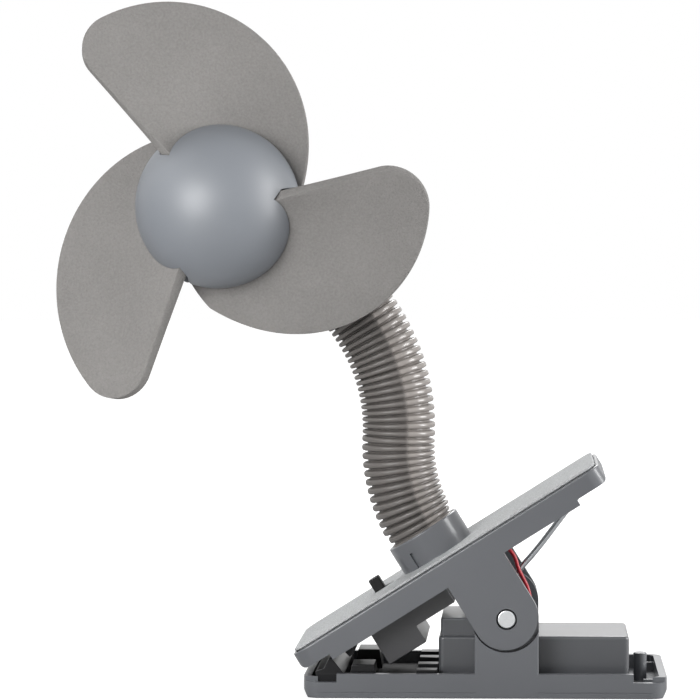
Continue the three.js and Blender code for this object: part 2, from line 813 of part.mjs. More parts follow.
function coverScrew(centre) {
  const headTop = coverShallowBottom - seatGap;
  const headBottom = headTop - screwHeadHeight;
  const headDisc = bar('z', screwHeadRadius, headBottom, headTop, centre, 16);
  const tip = coverUnderside - coverScrewTipGap;
  const shank = bar('z', screwShankRadius, headTop - screwSlotDepth, tip, centre, 12);
  const [u, y] = centre;
  const slot = box([u - screwSlotLength / 2, y - screwSlotWidth / 2, headBottom - over],
    [u + screwSlotLength / 2, y + screwSlotWidth / 2, headBottom + screwSlotDepth]);
  return cut(join(headDisc, shank), slot);
}

function upperGripPad() {
  const left = leverTipEnd + jawWall + seatGap;
  const reach = halfWidth - jawWall - seatGap;
  const top = coverUnderside - seatGap;
  const right = left + upperPadLength;
  const face = upperPadBottom + fineToothDepth;
  const outline = [[left, top], [left, face]];
  for (let i = 0; i < fineToothCount; i++) {
    const u = left + fineToothStart + i * fineToothPitch;
    outline.push([u, face], [u + fineToothPitch / 2, upperPadBottom]);
  }
  outline.push([left + upperToothStart, face], [left + upperToothPeakStart, upperToothBottom]);
  outline.push([left + upperToothPeakEnd, upperToothBottom], [left + upperToothEnd, face]);
  outline.push([right, face], [right, top]);
  const plan = slab(left, right, -reach, reach, upperToothBottom - over, top + over, cornerRadius - jawWall);
  return profile(outline, -reach, reach).intersect(plan);
}

function neckAnchor() {
  const bottom = leverTop + runningGap + seatGap;
  const plug = bar('z', socketBore - seatGap, bottom, anchorTop, [socketU, 0], 32);
  const coreHole = bar('z', coreWireRadius + runningGap, leverTop, anchorTop + over, [socketU, 0], 12);
  const leadHoles = bothSides((side) =>
    bar('z', leadRadius + seatGap, leverTop, anchorTop + over, [socketU, side * neckLeadOffset], 10));
  return cut(plug, coreHole, ...leadHoles);
}

function switchBody() {
  const top = coverUnderside - seatGap;
  return box([knobOffset - switchLength / 2, -switchWidth / 2, top - switchDepth],
    [knobOffset + switchLength / 2, switchWidth / 2, top]);
}

function switchKnob() {
  const left = knobU - knobLength / 2;
  return slab(left, left + knobLength, -knobWidth / 2, knobWidth / 2, coverUnderside, leverTop + knobHeight,
    knobCorner);
}

// ---- Leads between the jaws ----

function hingeLead(y, inner) {
  const overHinge = [
    leverPoint(leadCrossU, y, leadCrossV),
    leverPoint(leadBendU, y, leadBendTopV),
    leverPoint(leadBulgeU, y, leadBulgeV),
    leverPoint(leadBendU, y, leadBendBottomV),
    new THREE.Vector3(leadHoleX - leadDropInset, y, pivotZ + leadDropRise),
    new THREE.Vector3(leadHoleX, y, pivotZ + runningGap),
    new THREE.Vector3(leadHoleX, y, housingTop + housingTopWall),
    new THREE.Vector3(leadHoleX, y, bayTop + seatGap),
  ];
  return tube([...inner, ...overHinge], leadRadius, 6, 26);
}

// ---- Neck ----

// Tangent arcs in the x-z plane from the socket to the collar.
class NeckLine extends THREE.Curve {
  constructor() {
    super();
    const heading = 90 + leverTilt;
    const base = leverPoint(socketU, 0, neckStartV);
    this.runs = [
      { length: socketDepth, turn: 0 },
      { length: neckLowerArcRadius * degrees(Math.abs(neckLowerArcAngle)), turn: neckLowerArcAngle },
      { length: neckMiddleArcRadius * degrees(Math.abs(neckMiddleArcAngle)), turn: neckMiddleArcAngle },
      { length: neckUpperArcRadius * degrees(Math.abs(neckUpperArcAngle)), turn: neckUpperArcAngle },
      { length: collarSocketDepth, turn: 0 },
    ];
    this.start = { x: base.x, z: base.z, heading };
    this.total = this.runs.reduce((sum, run) => sum + run.length, 0);
  }

  // Place and heading after a length along the line.
  at(distance) {
    let { x, z, heading } = this.start;
    let left = distance;
    for (const run of this.runs) {
      const part = Math.max(0, Math.min(left, run.length));
      const turn = (run.turn * part) / run.length;
      const middle = degrees(heading + turn / 2);
      const half = degrees(turn / 2);
      const chord = turn === 0 ? part : (part * Math.sin(half)) / half;
      x += chord * Math.cos(middle);
      z += chord * Math.sin(middle);
      heading += turn;
      left -= part;
    }
    x += left * Math.cos(degrees(heading));
    z += left * Math.sin(degrees(heading));
    return { x, z, heading };
  }

  getPoint(t, target = new THREE.Vector3()) {
    const { x, z } = this.at(t * this.total);
    return target.set(x, 0, z);
  }
}

const neckLine = new NeckLine();
const collarFace = neckLine.at(neckLine.total - collarSocketDepth);

function neckRing(distance, radius) {
  const { x, z, heading } = neckLine.at(distance);
  const across = degrees(heading - 90);
  const ring = [];
  for (let k = 0; k < neckSides; k++) {
    const angle = (2 * Math.PI * k) / neckSides;
    const side = radius * Math.cos(angle);
    const y = radius * Math.sin(angle);
    ring.push(new THREE.Vector3(x + side * Math.cos(across), y, z + side * Math.sin(across)));
  }
  return ring;
}

function neckHose() {
  const ribsPerBoreRing = 5;
  const ribs = Math.round(neckLine.total / neckRibPitch);
  const pitch = neckLine.total / ribs;
  const outside = [];
  for (let i = 0; i < ribs; i++) {
    outside.push(neckRing(i * pitch, neckValleyRadius), neckRing((i + 0.5) * pitch, neckCrestRadius));
  }
  outside.push(neckRing(neckLine.total, neckValleyRadius));
  const bore = [];
  for (let i = ribs; i > 0; i -= ribsPerBoreRing) bore.push(neckRing(i * pitch, neckBoreRadius));
  bore.push(neckRing(0, neckBoreRadius));
  return ringSkin([...outside, ...bore]);
}

function neckTubePoints(from, to, side) {
  const count = 14;
  const points = [];
  for (let i = 0; i <= count; i++) {
    const { x, z } = neckLine.at(from + ((to - from) * i) / count);
    points.push(new THREE.Vector3(x, side * neckLeadOffset, z));
  }
  return points;
}

function coreWire() {
  return tube(neckTubePoints(-anchorThickness, neckLine.total + neckTailLength, 0), coreWireRadius, 6, 24);
}

function neckLead(side) {
  return tube(neckTubePoints(-anchorThickness, neckLine.total + neckTailLength, side), leadRadius, 6, 24);
}

// ---- Head, in its own frame: x right, y back from the hub's centre, z up ----

const hubBearing = degrees(collarFace.heading + hubReachAngle);
const head = new THREE.Group();
head.position.set(collarFace.x + hubReach * Math.cos(hubBearing), hubY,
  collarFace.z + hubReach * Math.sin(hubBearing));
head.rotation.z = -degrees(headYaw);
head.updateMatrix();
clipFan.add(head);

// A revolved outline of radius and depth, about the fan's axis.
function turned(points, sides = 48) {
  const outline = points.map(([radius, depth]) => new THREE.Vector2(radius, depth));
  return solid(new THREE.LatheGeometry(outline, sides));
}

function arcPoints(centreRadius, centreDepth, radius, from, to, count) {
  const points = [];
  for (let i = 0; i <= count; i++) {
    const angle = degrees(from + ((to - from) * i) / count);
    points.push([centreRadius + radius * Math.cos(angle), centreDepth + radius * Math.sin(angle)]);
  }
  return points;
}

function housingCup(radius, front, back, rounding) {
  const corner = arcPoints(radius - rounding, back - rounding, rounding, 0, 90, 4);
  return turned([[0, front], [radius, front], ...corner, [0, back]], 32);
}

// The collar and what goes through it run from the housing's axis towards the neck.
function collarBar(radius, from, to, sides) {
  const heading = degrees(collarFace.heading);
  const end = new THREE.Vector3(collarFace.x, 0, collarFace.z);
  const inward = new THREE.Vector3(Math.cos(heading), 0, Math.sin(heading));
  const geometry = new THREE.CylinderGeometry(radius, radius, to - from, sides);
  const turn = new THREE.Quaternion().setFromUnitVectors(new THREE.Vector3(0, 1, 0), inward);
  geometry.applyQuaternion(turn);
  geometry.translate(...end.addScaledVector(inward, (from + to) / 2).toArray());
  geometry.applyMatrix4(head.matrix.clone().invert());
  return solid(geometry);
}

const collarLength = collarReach - housingRadius / 2;
const plateFront = housingFront + plateRecess;
const plateBack = plateFront + frontPlateThickness;
const motorFront = plateBack + seatGap;
const motorBack = motorFront + motorLength;
const bossBack = housingBack - housingBackRounding + bossOverlap;
const screwSeat = housingBack - housingScrewDepth;
const screwTip = housingFront + housingScrewTip;
const housingScrewCentres = [[0, housingScrewOffset], [0, -housingScrewOffset]];

function motorHousingRear() {
  const outer = housingCup(housingRadius, housingFront, housingBack, housingBackRounding);
  const cavity = housingCup(housingRadius - housingShell, housingFront - over, housingBack - housingShell,
    housingBackRounding - housingShell);
  const collar = collarBar(collarRadius, 0, collarLength, 24);
  const bore = collarBar(collarBore, -over, collarSocketDepth + seatGap, 24);
  const wireWay = collarBar(wireWayRadius, 0, collarLength + 2 * over, 12);
  const bosses = housingScrewCentres.map((centre) =>
    bar('y', housingBossRadius, bossBack + seatGap, housingBack - housingShell, centre, 16));
  const screwHoles = housingScrewCentres.map((centre) =>
    bar('y', screwShankRadius + runningGap, bossBack - over, housingBack + over, centre, 12));
  const counterbores = housingScrewCentres.map((centre) =>
    bar('y', screwHeadRadius + runningGap, screwSeat, housingBack + over, centre, 16));
  const shell = cut(join(outer, collar), cavity);
  return cut(join(shell, ...bosses), bore, wireWay, ...screwHoles, ...counterbores);
}

function motorHousingFront() {
  const radius = housingRadius - housingShell - seatGap;
  const plate = bar('y', radius, plateFront, plateBack, [0, 0], 32);
  const ringBoreRadius = motorRadius + seatGap;
  const inPlate = plateBack - frontPlateThickness / 2;
  const ring = bar('y', ringBoreRadius + motorRingWall, inPlate, plateBack + motorRingLength, [0, 0], 24);
  const ringBore = bar('y', ringBoreRadius, plateBack, plateBack + motorLength, [0, 0], 24);
  const shaftHole = bar('y', shaftRadius + 2 * seatGap, housingFront - over, plateBack + over, [0, 0], 16);
  const bosses = housingScrewCentres.map((centre) =>
    bar('y', housingBossRadius, inPlate, bossBack, centre, 16));
  const bossHoles = housingScrewCentres.map((centre) =>
    bar('y', screwShankRadius + runningGap, screwTip - 4 * over, bossBack + over, centre, 12));
  const wireWay = collarBar(wireWayRadius, 0, collarReach, 12);
  return cut(join(plate, ring, ...bosses), ringBore, shaftHole, wireWay, ...bossHoles);
}

function housingScrew([x, z]) {
  const headFront = screwSeat + runningGap;
  const headBack = headFront + screwHeadHeight;
  const headDisc = bar('y', screwHeadRadius, headFront, headBack, [x, z], 16);
  const shank = bar('y', screwShankRadius, screwTip, headFront + screwSlotDepth, [x, z], 12);
  const slot = box([x - screwSlotLength / 2, headBack - screwSlotDepth, z - screwSlotWidth / 2],
    [x + screwSlotLength / 2, headBack + over, z + screwSlotWidth / 2]);
  return cut(join(headDisc, shank), slot);
}

function motorCan() {
  const can = turned([[0, motorFront], [motorRadius - motorEdge, motorFront],
    [motorRadius, motorFront + motorEdge], [motorRadius, motorBack], [0, motorBack]], 24);
  const shaftBore = bar('y', shaftRadius + runningGap, motorFront - over, motorBack - 2 * over, [0, 0], 16);
  return cut(can, shaftBore);
}

function motorEndCap() {
  const front = motorBack + runningGap;
  return bar('y', motorCapRadius, front, front + motorCapLength, [0, 0], 24);
}

function motorShaft() {
  return bar('y', shaftRadius, -bladeFrontRise, motorBack - 3 * over, [0, 0], 16);
}

// ---- Fan ----

// Depth of the blades' middle surface at a share of the way round from leading to trailing edge.
function bladeDepth(share) {
  const left = 1 - Math.min(Math.max(share, 0), 1);
  return bladeBackDrop - (bladeFrontRise + bladeBackDrop) * left ** bladeCurl;
}

// Angle of the straight leading edge at a radius, from the angle of the blade's notch.
function leadingAngle(radius) {
  const clearance = bladeNotchRadius * Math.sin(degrees(bladeLeadingSweep));
  return bladeLeadingSweep - inDegrees(Math.asin(clearance / radius));
}

// A blade's outline from the outer end of its leading edge to its trailing end, in polar form.
function bladeRim() {
  const sweep = degrees(bladeLeadingSweep);
  const along = new THREE.Vector2(Math.cos(sweep), Math.sin(sweep));
  const outward = new THREE.Vector2(-along.y, along.x);
  const foot = new THREE.Vector2(bladeNotchRadius, 0);
  const axis = new THREE.Vector2();
  const lobe = new THREE.Vector2(bladeLobeOffset, 0).rotateAround(axis, degrees(bladeLobeAngle));
  const offset = foot.clone().sub(lobe).dot(outward);
  const inset = offset - bladeCornerRadius;
  const corner = lobe.clone().addScaledVector(outward, inset)
    .addScaledVector(along, Math.sqrt((bladeLobeRadius - bladeCornerRadius) ** 2 - inset ** 2));
  const from = Math.atan2(outward.y, outward.x);
  const toLobe = corner.clone().sub(lobe);
  const to = Math.atan2(toLobe.y, toLobe.x);
  const rim = [];
  const cornerSteps = 4;
  for (let i = 0; i <= cornerSteps; i++) {
    const angle = from + ((to - from) * i) / cornerSteps;
    const spoke = new THREE.Vector2(bladeCornerRadius, 0).rotateAround(axis, angle);
    rim.push(spoke.add(corner));
  }
  const polar = rim.map((p) => ({ radius: p.length(), angle: inDegrees(p.angle()) }));
  const first = polar[polar.length - 1].angle;
  const lobeSteps = 18;
  for (let i = 1; i <= lobeSteps; i++) {
    const angle = normal(first) + ((-bladeSpan - normal(first)) * i) / lobeSteps;
    const fromLobe = degrees(angle - bladeLobeAngle);
    const lobeRim = bladeLobeOffset * Math.cos(fromLobe)
      + Math.sqrt(bladeLobeRadius ** 2 - (bladeLobeOffset * Math.sin(fromLobe)) ** 2);
    const share = (leadingAngle(lobeRim) - angle) / bladeSpan;
    const tail = Math.max((share - bladeTailStart) / (1 - bladeTailStart), 0);
    polar.push({ radius: lobeRim + bladeTailBulge * tail * tail, angle });
  }
  return polar.map(({ radius, angle }) => ({ radius, angle: normal(angle) }));
}

function normal(angle) {
  return angle > 180 ? angle - 360 : angle;
}

// Slope of the blades' middle surface round the fan's axis.
function bladeSlope(share, radius) {
  const left = 1 - Math.min(Math.max(share, 0), 1);
  const fall = bladeCurl * (bladeFrontRise + bladeBackDrop) * left ** (bladeCurl - 1);
  return fall / degrees(bladeSpan) / radius;
}

// Half of the blade along the fan's axis, which grows where the blade is steep.
function bladeHalfDepth(share, radius) {
  return (bladeThickness * Math.hypot(1, bladeSlope(share, radius))) / 2;
}

// A point of a blade's front or back face; outside the hub the cut edges stand square to the blade.
function bladeSurfacePoint(radius, angle, turn, layer) {
  const share = (leadingAngle(radius) - angle) / bladeSpan;
  const slope = bladeSlope(share, radius);
  const steep = Math.hypot(1, slope);
  const square = Math.min((radius - bladeRootRadius) / (hubRadius - bladeRootRadius), 1);
  const lean = (square * layer * bladeThickness * slope) / steep / 2;
  const rise = (layer * bladeThickness) / steep / 2;
  const depth = bladeDepth(share) + square * rise + (1 - square) * layer * bladeHalfDepth(share, radius);
  const around = degrees(angle + turn) + lean / radius;
  return new THREE.Vector3(radius * Math.cos(around), depth, radius * Math.sin(around));
}

function fanBlade(turn) {
  const rim = bladeRim();
  const rows = 6;
  const layers = [-1, 1].map((layer) => rim.map(({ radius, angle }, i) => {
    const rootAngle = leadingAngle(bladeRootRadius + 1) - (bladeSpan * i) / (rim.length - 1);
    const column = [];
    for (let k = 0; k < rows; k++) {
      const share = (k / (rows - 1)) ** 1.6;
      const r = bladeRootRadius + (radius - bladeRootRadius) * share;
      const straight = leadingAngle(r);
      const a = i === 0 ? straight : rootAngle + (angle - rootAngle) * share;
      column.push(bladeSurfacePoint(r, Math.min(a, straight), turn, layer));
    }
    return column;
  }));
  return gridSlab(layers[0], layers[1]);
}

// Everything in front of the blades, or behind them, as a block whose face follows their surface.
function bladeSide(front) {
  const wallAngle = front ? hubFrontWallAngle : hubRearWallAngle;
  const seatedRadius = front ? bladeRootRadius : hubRadius - hubShell / 2;
  const columns = [];
  const steps = 12;
  const stepWidth = 0.1;
  for (let i = 0; i < bladeCount; i++) {
    const notch = firstBladeAngle - (i * 360) / bladeCount;
    for (let k = 0; k <= steps; k++) {
      const fromNotch = wallAngle - (k * (360 / bladeCount - stepWidth)) / steps;
      const share = (leadingAngle(seatedRadius) - fromNotch) / bladeSpan;
      columns.push({ angle: notch + fromNotch, share });
    }
  }
  const direction = front ? -1 : 1;
  const far = direction * 2 * hubRadius;
  const ring = (radius, depth) => columns.map(({ angle, share }) => {
    const a = degrees(angle);
    const half = bladeHalfDepth(share, bladeInnerRadius) + seatGap;
    const y = depth === null ? bladeDepth(share) + direction * half : depth;
    return new THREE.Vector3(radius * Math.cos(a), y, radius * Math.sin(a));
  });
  const inner = hubBossRadius + (front ? 0.5 : 1);
  const nearWall = hubRadius - hubShell - over;
  const beyond = hubRadius + 2 * over;
  return ringSkin([
    ring(inner, null), ring(nearWall, null), ring(beyond, null),
    ring(beyond, far), ring(inner, far),
  ]);
}

function hubShellSolid() {
  const back = inDegrees(Math.asin(hubBack / hubRadius));
  const outer = turned([...arcPoints(0, 0, hubRadius, -90, back, 12), [0, hubBack]], 36);
  const inner = turned([...arcPoints(0, 0, hubRadius - hubShell, -90, 0, 5),
    [hubRadius - hubShell, hubBack - hubShell], [0, hubBack - hubShell]], 20);
  return cut(outer, inner);
}

function hubFront() {
  const shell = hubShellSolid().intersect(bladeSide(true));
  const boss = bar('y', hubBossRadius, -hubRadius + hubShell / 2, hubBossEnd, [0, 0], 24);
  const capHole = bar('y', hubBossRadius + over, -hubRadius - over, -hubRadius + hubShell, [0, 0], 24);
  const cap = hubShellSolid().intersect(capHole);
  const shaftBore = bar('y', shaftRadius + runningGap, -bladeFrontRise - seatGap, hubBack, [0, 0], 16);
  return cut(join(shell, boss, cap), shaftBore);
}

function hubRear() {
  const shell = hubShellSolid().intersect(bladeSide(false));
  const shaftHole = bar('y', hubBossRadius + over, -hubBack, hubBack + over, [0, 0], 24);
  return cut(shell, shaftHole);
}

// ---- Assembly ----

function addBase() {
  piece('base_tray', baseTray(), greyPlastic, clipFan);
  piece('lower_grip_pad', lowerGripPad(), blackRubber, clipFan);
  piece('hinge_pin', hingePin(), steel, clipFan);
  piece('torsion_spring', clipSpring(), brightWire, clipFan);
  piece('battery_door', batteryDoor(), greyPlastic, clipFan);
  piece('door_screw', doorScrew(), steel, clipFan);

  const front = piece('battery_cell_front', batteryCell(), cellJacket, clipFan);
  front.position.set(bayLeft + contactInset + contactSpringLength, -cellPitch / 2, cellCentreZ);
  const rear = piece('battery_cell_rear', batteryCell(), cellJacket, clipFan);
  rear.position.set(bayRight - contactInset - contactSpringLength, cellPitch / 2, cellCentreZ);
  rear.rotation.z = Math.PI;

  const bridge = piece('contact_bridge', contactPlate(cellPitch + contactWidth), nickel, clipFan);
  bridge.position.x = bayLeft + runningGap;
  const farContactX = bayRight - contactInset;
  const frontContact = piece('contact_front', contactPlate(contactWidth), nickel, clipFan);
  frontContact.position.set(farContactX, -cellPitch / 2, 0);
  const rearContact = piece('contact_rear', contactPlate(contactWidth), nickel, clipFan);
  rearContact.position.set(farContactX, cellPitch / 2, 0);
  const frontSpring = piece('contact_spring_front', contactSpring(), brightWire, clipFan);
  frontSpring.position.set(bayLeft + contactInset + runningGap, -cellPitch / 2, cellCentreZ);
  const rearSpring = piece('contact_spring_rear', contactSpring(), brightWire, clipFan);
  rearSpring.position.set(farContactX - runningGap, cellPitch / 2, cellCentreZ);
  rearSpring.rotation.z = Math.PI;
}

function addLever() {
  piece('lever_frame', leverFrame(), greyPlastic, lever);
  piece('lever_top_cover', leverTopCover(), texturedPlastic, lever);
  piece('upper_grip_pad', upperGripPad(), blackRubber, lever);
  piece('lever_inner_cover', innerCover(), darkPlastic, lever);
  piece('cover_screw_rear', coverScrew(coverScrewCentres[0]), steel, lever);
  piece('cover_screw_front', coverScrew(coverScrewCentres[1]), steel, lever);
  piece('neck_anchor', neckAnchor(), darkPlastic, lever);
  piece('switch_body', switchBody(), nickel, lever);
  piece('switch_knob', switchKnob(), blackRubber, lever);

  const switchEnd = knobOffset + switchLength / 2;
  const redInner = [
    leverPoint(switchEnd - redLeadStep / 2, redLeadY + redLeadShift, redLeadV),
    leverPoint(switchEnd + redLeadStep, redLeadY + redLeadShift / 4, redLeadV),
    leverPoint(coverRight - redLeadStep, redLeadY, redLeadV + leadRadius / 2),
    leverPoint(coverRight + 2 * redLeadStep, redLeadY, redLeadV + leadRadius),
  ];
  piece('supply_lead_red', hingeLead(redLeadY, redInner), redPvc, clipFan);
  const blackInner = [
    leverPoint(socketU - blackLeadStep, blackLeadY + blackLeadShift, blackLeadV),
    leverPoint(socketU + 4 * blackLeadStep, blackLeadY + blackLeadShift / 3, blackLeadV - leadRadius),
  ];
  piece('supply_lead_black', hingeLead(blackLeadY, blackInner), blackPvc, clipFan);
}

function addNeck() {
  piece('neck_hose', neckHose(), neckPlastic, clipFan);
  piece('neck_core_wire', coreWire(), steel, clipFan);
  piece('motor_lead_red', neckLead(1), redPvc, clipFan);
  piece('motor_lead_black', neckLead(-1), blackPvc, clipFan);
}

function addHead() {
  piece('motor_housing_rear', motorHousingRear(), greyPlastic, head);
  piece('motor_housing_front', motorHousingFront(), greyPlastic, head);
  housingScrewCentres.forEach((centre, i) =>
    piece(`housing_screw_${i + 1}`, housingScrew(centre), steel, head));
  piece('motor_can', motorCan(), steel, head);
  piece('motor_end_cap', motorEndCap(), darkPlastic, head);
  piece('motor_shaft', motorShaft(), steel, head);
  piece('fan_hub_front', hubFront(), hubPlastic, head);
  piece('fan_hub_rear', hubRear(), hubPlastic, head);
  for (let i = 0; i < bladeCount; i++) {
    const turn = firstBladeAngle - (i * 360) / bladeCount;
    piece(`fan_blade_${i + 1}`, fanBlade(turn), bladeFoam, head);
  }
}

addBase();
addLever();
addNeck();
addHead();

export default clipFan;
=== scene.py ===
import json
import math

import bmesh
import bpy
from mathutils import Matrix, Vector


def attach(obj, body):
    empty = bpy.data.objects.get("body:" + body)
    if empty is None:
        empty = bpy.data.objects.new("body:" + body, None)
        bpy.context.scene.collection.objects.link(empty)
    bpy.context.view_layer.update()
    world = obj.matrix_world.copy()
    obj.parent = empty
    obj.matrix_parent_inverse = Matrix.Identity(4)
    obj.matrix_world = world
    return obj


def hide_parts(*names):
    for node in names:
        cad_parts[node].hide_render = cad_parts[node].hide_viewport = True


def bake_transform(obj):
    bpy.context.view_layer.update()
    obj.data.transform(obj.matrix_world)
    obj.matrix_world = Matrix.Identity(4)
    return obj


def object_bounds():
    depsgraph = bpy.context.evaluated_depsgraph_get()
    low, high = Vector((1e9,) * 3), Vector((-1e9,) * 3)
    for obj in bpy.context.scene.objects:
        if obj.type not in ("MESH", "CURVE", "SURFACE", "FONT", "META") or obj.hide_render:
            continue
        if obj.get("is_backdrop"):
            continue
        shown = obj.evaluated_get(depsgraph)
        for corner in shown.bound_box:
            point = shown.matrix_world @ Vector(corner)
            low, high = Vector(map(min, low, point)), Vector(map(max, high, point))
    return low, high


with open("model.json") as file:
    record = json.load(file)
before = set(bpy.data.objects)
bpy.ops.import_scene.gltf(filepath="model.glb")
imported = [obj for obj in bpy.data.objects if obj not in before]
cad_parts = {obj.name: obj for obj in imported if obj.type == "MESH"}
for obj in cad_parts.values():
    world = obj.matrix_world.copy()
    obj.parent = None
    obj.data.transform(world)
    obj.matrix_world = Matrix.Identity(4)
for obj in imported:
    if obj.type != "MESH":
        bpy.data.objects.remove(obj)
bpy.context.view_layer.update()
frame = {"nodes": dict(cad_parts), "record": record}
bpy.ops.object.select_all(action="DESELECT")
mm = 0.001


def named(name):  # names what was just added
    piece = bpy.context.object
    piece.name = name
    return piece


def addNode(tree, kind, inputs=None, **settings):  # an input is given a value, or another node's output
    node = tree.nodes.new("ShaderNode" + kind)
    for key, value in settings.items():
        setattr(node, key, value)
    for socket, value in (inputs or {}).items():
        if isinstance(value, bpy.types.NodeSocket):
            tree.links.new(value, node.inputs[socket])
        else:
            node.inputs[socket].default_value = value
    return node


def addMath(tree, operation, *values):
    return addNode(tree, "Math", dict(enumerate(values)), operation=operation).outputs[0]


cameraPlace = {
    "at": (13.95, -875.5, 135.4), "lens": 148.0, "turn": 1.2, "shift": (-0.1741, -0.1565), "clip": (0.01, 50),
}


def addCamera():
    bpy.ops.object.camera_add(location=Vector(cameraPlace["at"]) * mm,
                              rotation=(math.pi / 2, 0, math.radians(cameraPlace["turn"])))
    camera = named("photoCamera")
    camera.data.lens = cameraPlace["lens"]
    camera.data.shift_x, camera.data.shift_y = cameraPlace["shift"]
    camera.data.clip_start, camera.data.clip_end = cameraPlace["clip"]
    bpy.context.scene.camera = camera


lamps = {
    "frontBox": {"at": (-0.255, -0.41, 0.205), "size": 0.26, "watts": 1.95},
    "leftBox": {"at": (-0.75, -0.05, 0.7), "size": 0.6, "watts": 1.3},
    "backBox": {"at": (0.05, 0.85, 0.8), "size": 0.6, "watts": 7.5},
    "rightBox": {"at": (1.1, -0.08, 0.28), "size": 0.5, "watts": 10.5},
    "highBox": {"at": (1.0, -0.12, 0.72), "size": 0.3, "watts": 3.0},
}
lampTarget = Vector((-0.03, 0, 0.09))


def addLamps():
    for name, lamp in lamps.items():
        at = Vector(lamp["at"])
        bpy.ops.object.light_add(type="AREA", location=at)
        light = named(name)
        light.data.shape = "SQUARE"
        light.data.size, light.data.energy = lamp["size"], lamp["watts"]
        light.rotation_euler = (lampTarget - at).to_track_quat("-Z", "Y").to_euler()


worldLight = {"above": 0.34, "level": 0.18, "below": 0.07}


def addWorld():
    world = bpy.data.worlds.new("paleStudio")
    bpy.context.scene.world = world
    world.use_nodes = True
    tree = world.node_tree
    tree.nodes.clear()
    place = addNode(tree, "TexCoord")
    parts = addNode(tree, "SeparateXYZ", {0: place.outputs["Generated"]})
    ramp = addNode(tree, "ValToRGB", {0: addMath(tree, "MULTIPLY_ADD", parts.outputs["Z"], 0.5, 0.5)})
    stops = ramp.color_ramp.elements
    stops.new(0.5)
    for stop, height in zip(stops, ("below", "level", "above")):
        stop.color = (worldLight[height],) * 3 + (1,)
    rays = addNode(tree, "LightPath").outputs
    cameraOrGlass = addMath(tree, "MAXIMUM", rays["Is Camera Ray"], rays["Is Transmission Ray"])
    seen = addMath(tree, "MAXIMUM", cameraOrGlass, rays["Is Glossy Ray"])
    mixed = addNode(tree, "Mix", {"Factor": seen, "A": ramp.outputs["Color"], "B": (1, 1, 1, 1)}, data_type="RGBA")
    background = addNode(tree, "Background", {"Color": mixed.outputs["Result"]})
    addNode(tree, "OutputWorld", {"Surface": background.outputs[0]})


studioFloor = {"sides": 96, "radius": 4.0, "inset": 1.5, "grey": 0.5}
floorGlow = {"From Min": 0.1, "From Max": 0.5, "To Min": 0.72, "To Max": 0.95}  # by the distance from the middle


def addFloor():
    bpy.ops.mesh.primitive_circle_add(vertices=studioFloor["sides"], radius=studioFloor["radius"],
                                      fill_type="NGON", location=(0, 0, 0))
    floor = named("studioFloor")
    bpy.ops.object.mode_set(mode="EDIT")
    bpy.ops.mesh.select_all(action="SELECT")
    bpy.ops.mesh.inset(thickness=studioFloor["inset"])
    bpy.ops.object.mode_set(mode="OBJECT")
    material = bpy.data.materials.new("paleFloor")
    material.use_nodes = True
    tree = material.node_tree
    tree.nodes.clear()
    matt = addNode(tree, "BsdfDiffuse", {"Color": (studioFloor["grey"],) * 3 + (1,)})
    place = addNode(tree, "TexCoord")
    distance = addNode(tree, "VectorMath", {0: place.outputs["Object"]}, operation="LENGTH")
    glowByDistance = addNode(tree, "MapRange", {"Value": distance.outputs["Value"], **floorGlow})
    rays = addNode(tree, "LightPath")
    strength = addMath(tree, "MULTIPLY", rays.outputs["Is Camera Ray"], glowByDistance.outputs["Result"])
    glow = addNode(tree, "Emission", {"Strength": strength})
    both = addNode(tree, "AddShader", {0: matt.outputs[0], 1: glow.outputs[0]})
    addNode(tree, "OutputMaterial", {"Surface": both.outputs[0]})
    floor.data.materials.append(material)
    floor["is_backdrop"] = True


bpy.context.scene.view_settings.view_transform = "Standard"
addCamera()
addLamps()
addWorld()
addFloor()
print("camera, light and floor are up")


def shade(red, green, blue):  # a colour as a screen shows it, 0 to 255
    linear = []
    for value in (red, green, blue):
        c = value / 255
        linear.append(c / 12.92 if c <= 0.04045 else ((c + 0.055) / 1.055) ** 2.4)
    return (*linear, 1)


def newGroup(name, inputs, outputs):
    group = bpy.data.node_groups.new(name, "ShaderNodeTree")
    for way, sockets in (("INPUT", inputs), ("OUTPUT", outputs)):
        for label, kind in sockets.items():
            group.interface.new_socket(name=label, in_out=way, socket_type="NodeSocket" + kind)
    return group, group.nodes.new("NodeGroupInput").outputs, group.nodes.new("NodeGroupOutput").inputs


mouldGrain = {"detail": 3, "fineness": 0.6, "cloudSize": 45, "cloudDetail": 4, "roughSwing": 0.12}


def makeGrainGroup():  # fine mould texture, with a slow drift of tone over the piece
    group, taken, given = newGroup("mouldGrain", {
        "Vector": "Vector", "Grain Size": "Float", "Color": "Color", "Drift": "Float", "Roughness": "Float",
        "Speckle": "Float",
    }, {"Color": "Color", "Roughness": "Float", "Height": "Float"})
    grain = addNode(group, "TexNoise", {"Vector": taken["Vector"], "Scale": taken["Grain Size"],
                                        "Detail": mouldGrain["detail"], "Roughness": mouldGrain["fineness"]})
    cloud = addNode(group, "TexNoise", {"Vector": taken["Vector"], "Scale": mouldGrain["cloudSize"],
                                        "Detail": mouldGrain["cloudDetail"]})
    fromMiddle = addMath(group, "SUBTRACT", cloud.outputs["Fac"], 0.5)
    grainFromMiddle = addMath(group, "SUBTRACT", grain.outputs["Fac"], 0.5)
    specks = addMath(group, "MULTIPLY_ADD", grainFromMiddle, taken["Speckle"], 1)
    tone = addMath(group, "MULTIPLY_ADD", fromMiddle, taken["Drift"], specks)
    tinted = addNode(group, "VectorMath", {0: taken["Color"], "Scale": tone}, operation="SCALE")
    rough = addMath(group, "MULTIPLY_ADD", fromMiddle, mouldGrain["roughSwing"], taken["Roughness"])
    group.links.new(tinted.outputs[0], given["Color"])
    group.links.new(rough, given["Roughness"])
    group.links.new(grain.outputs["Fac"], given["Height"])
    return group


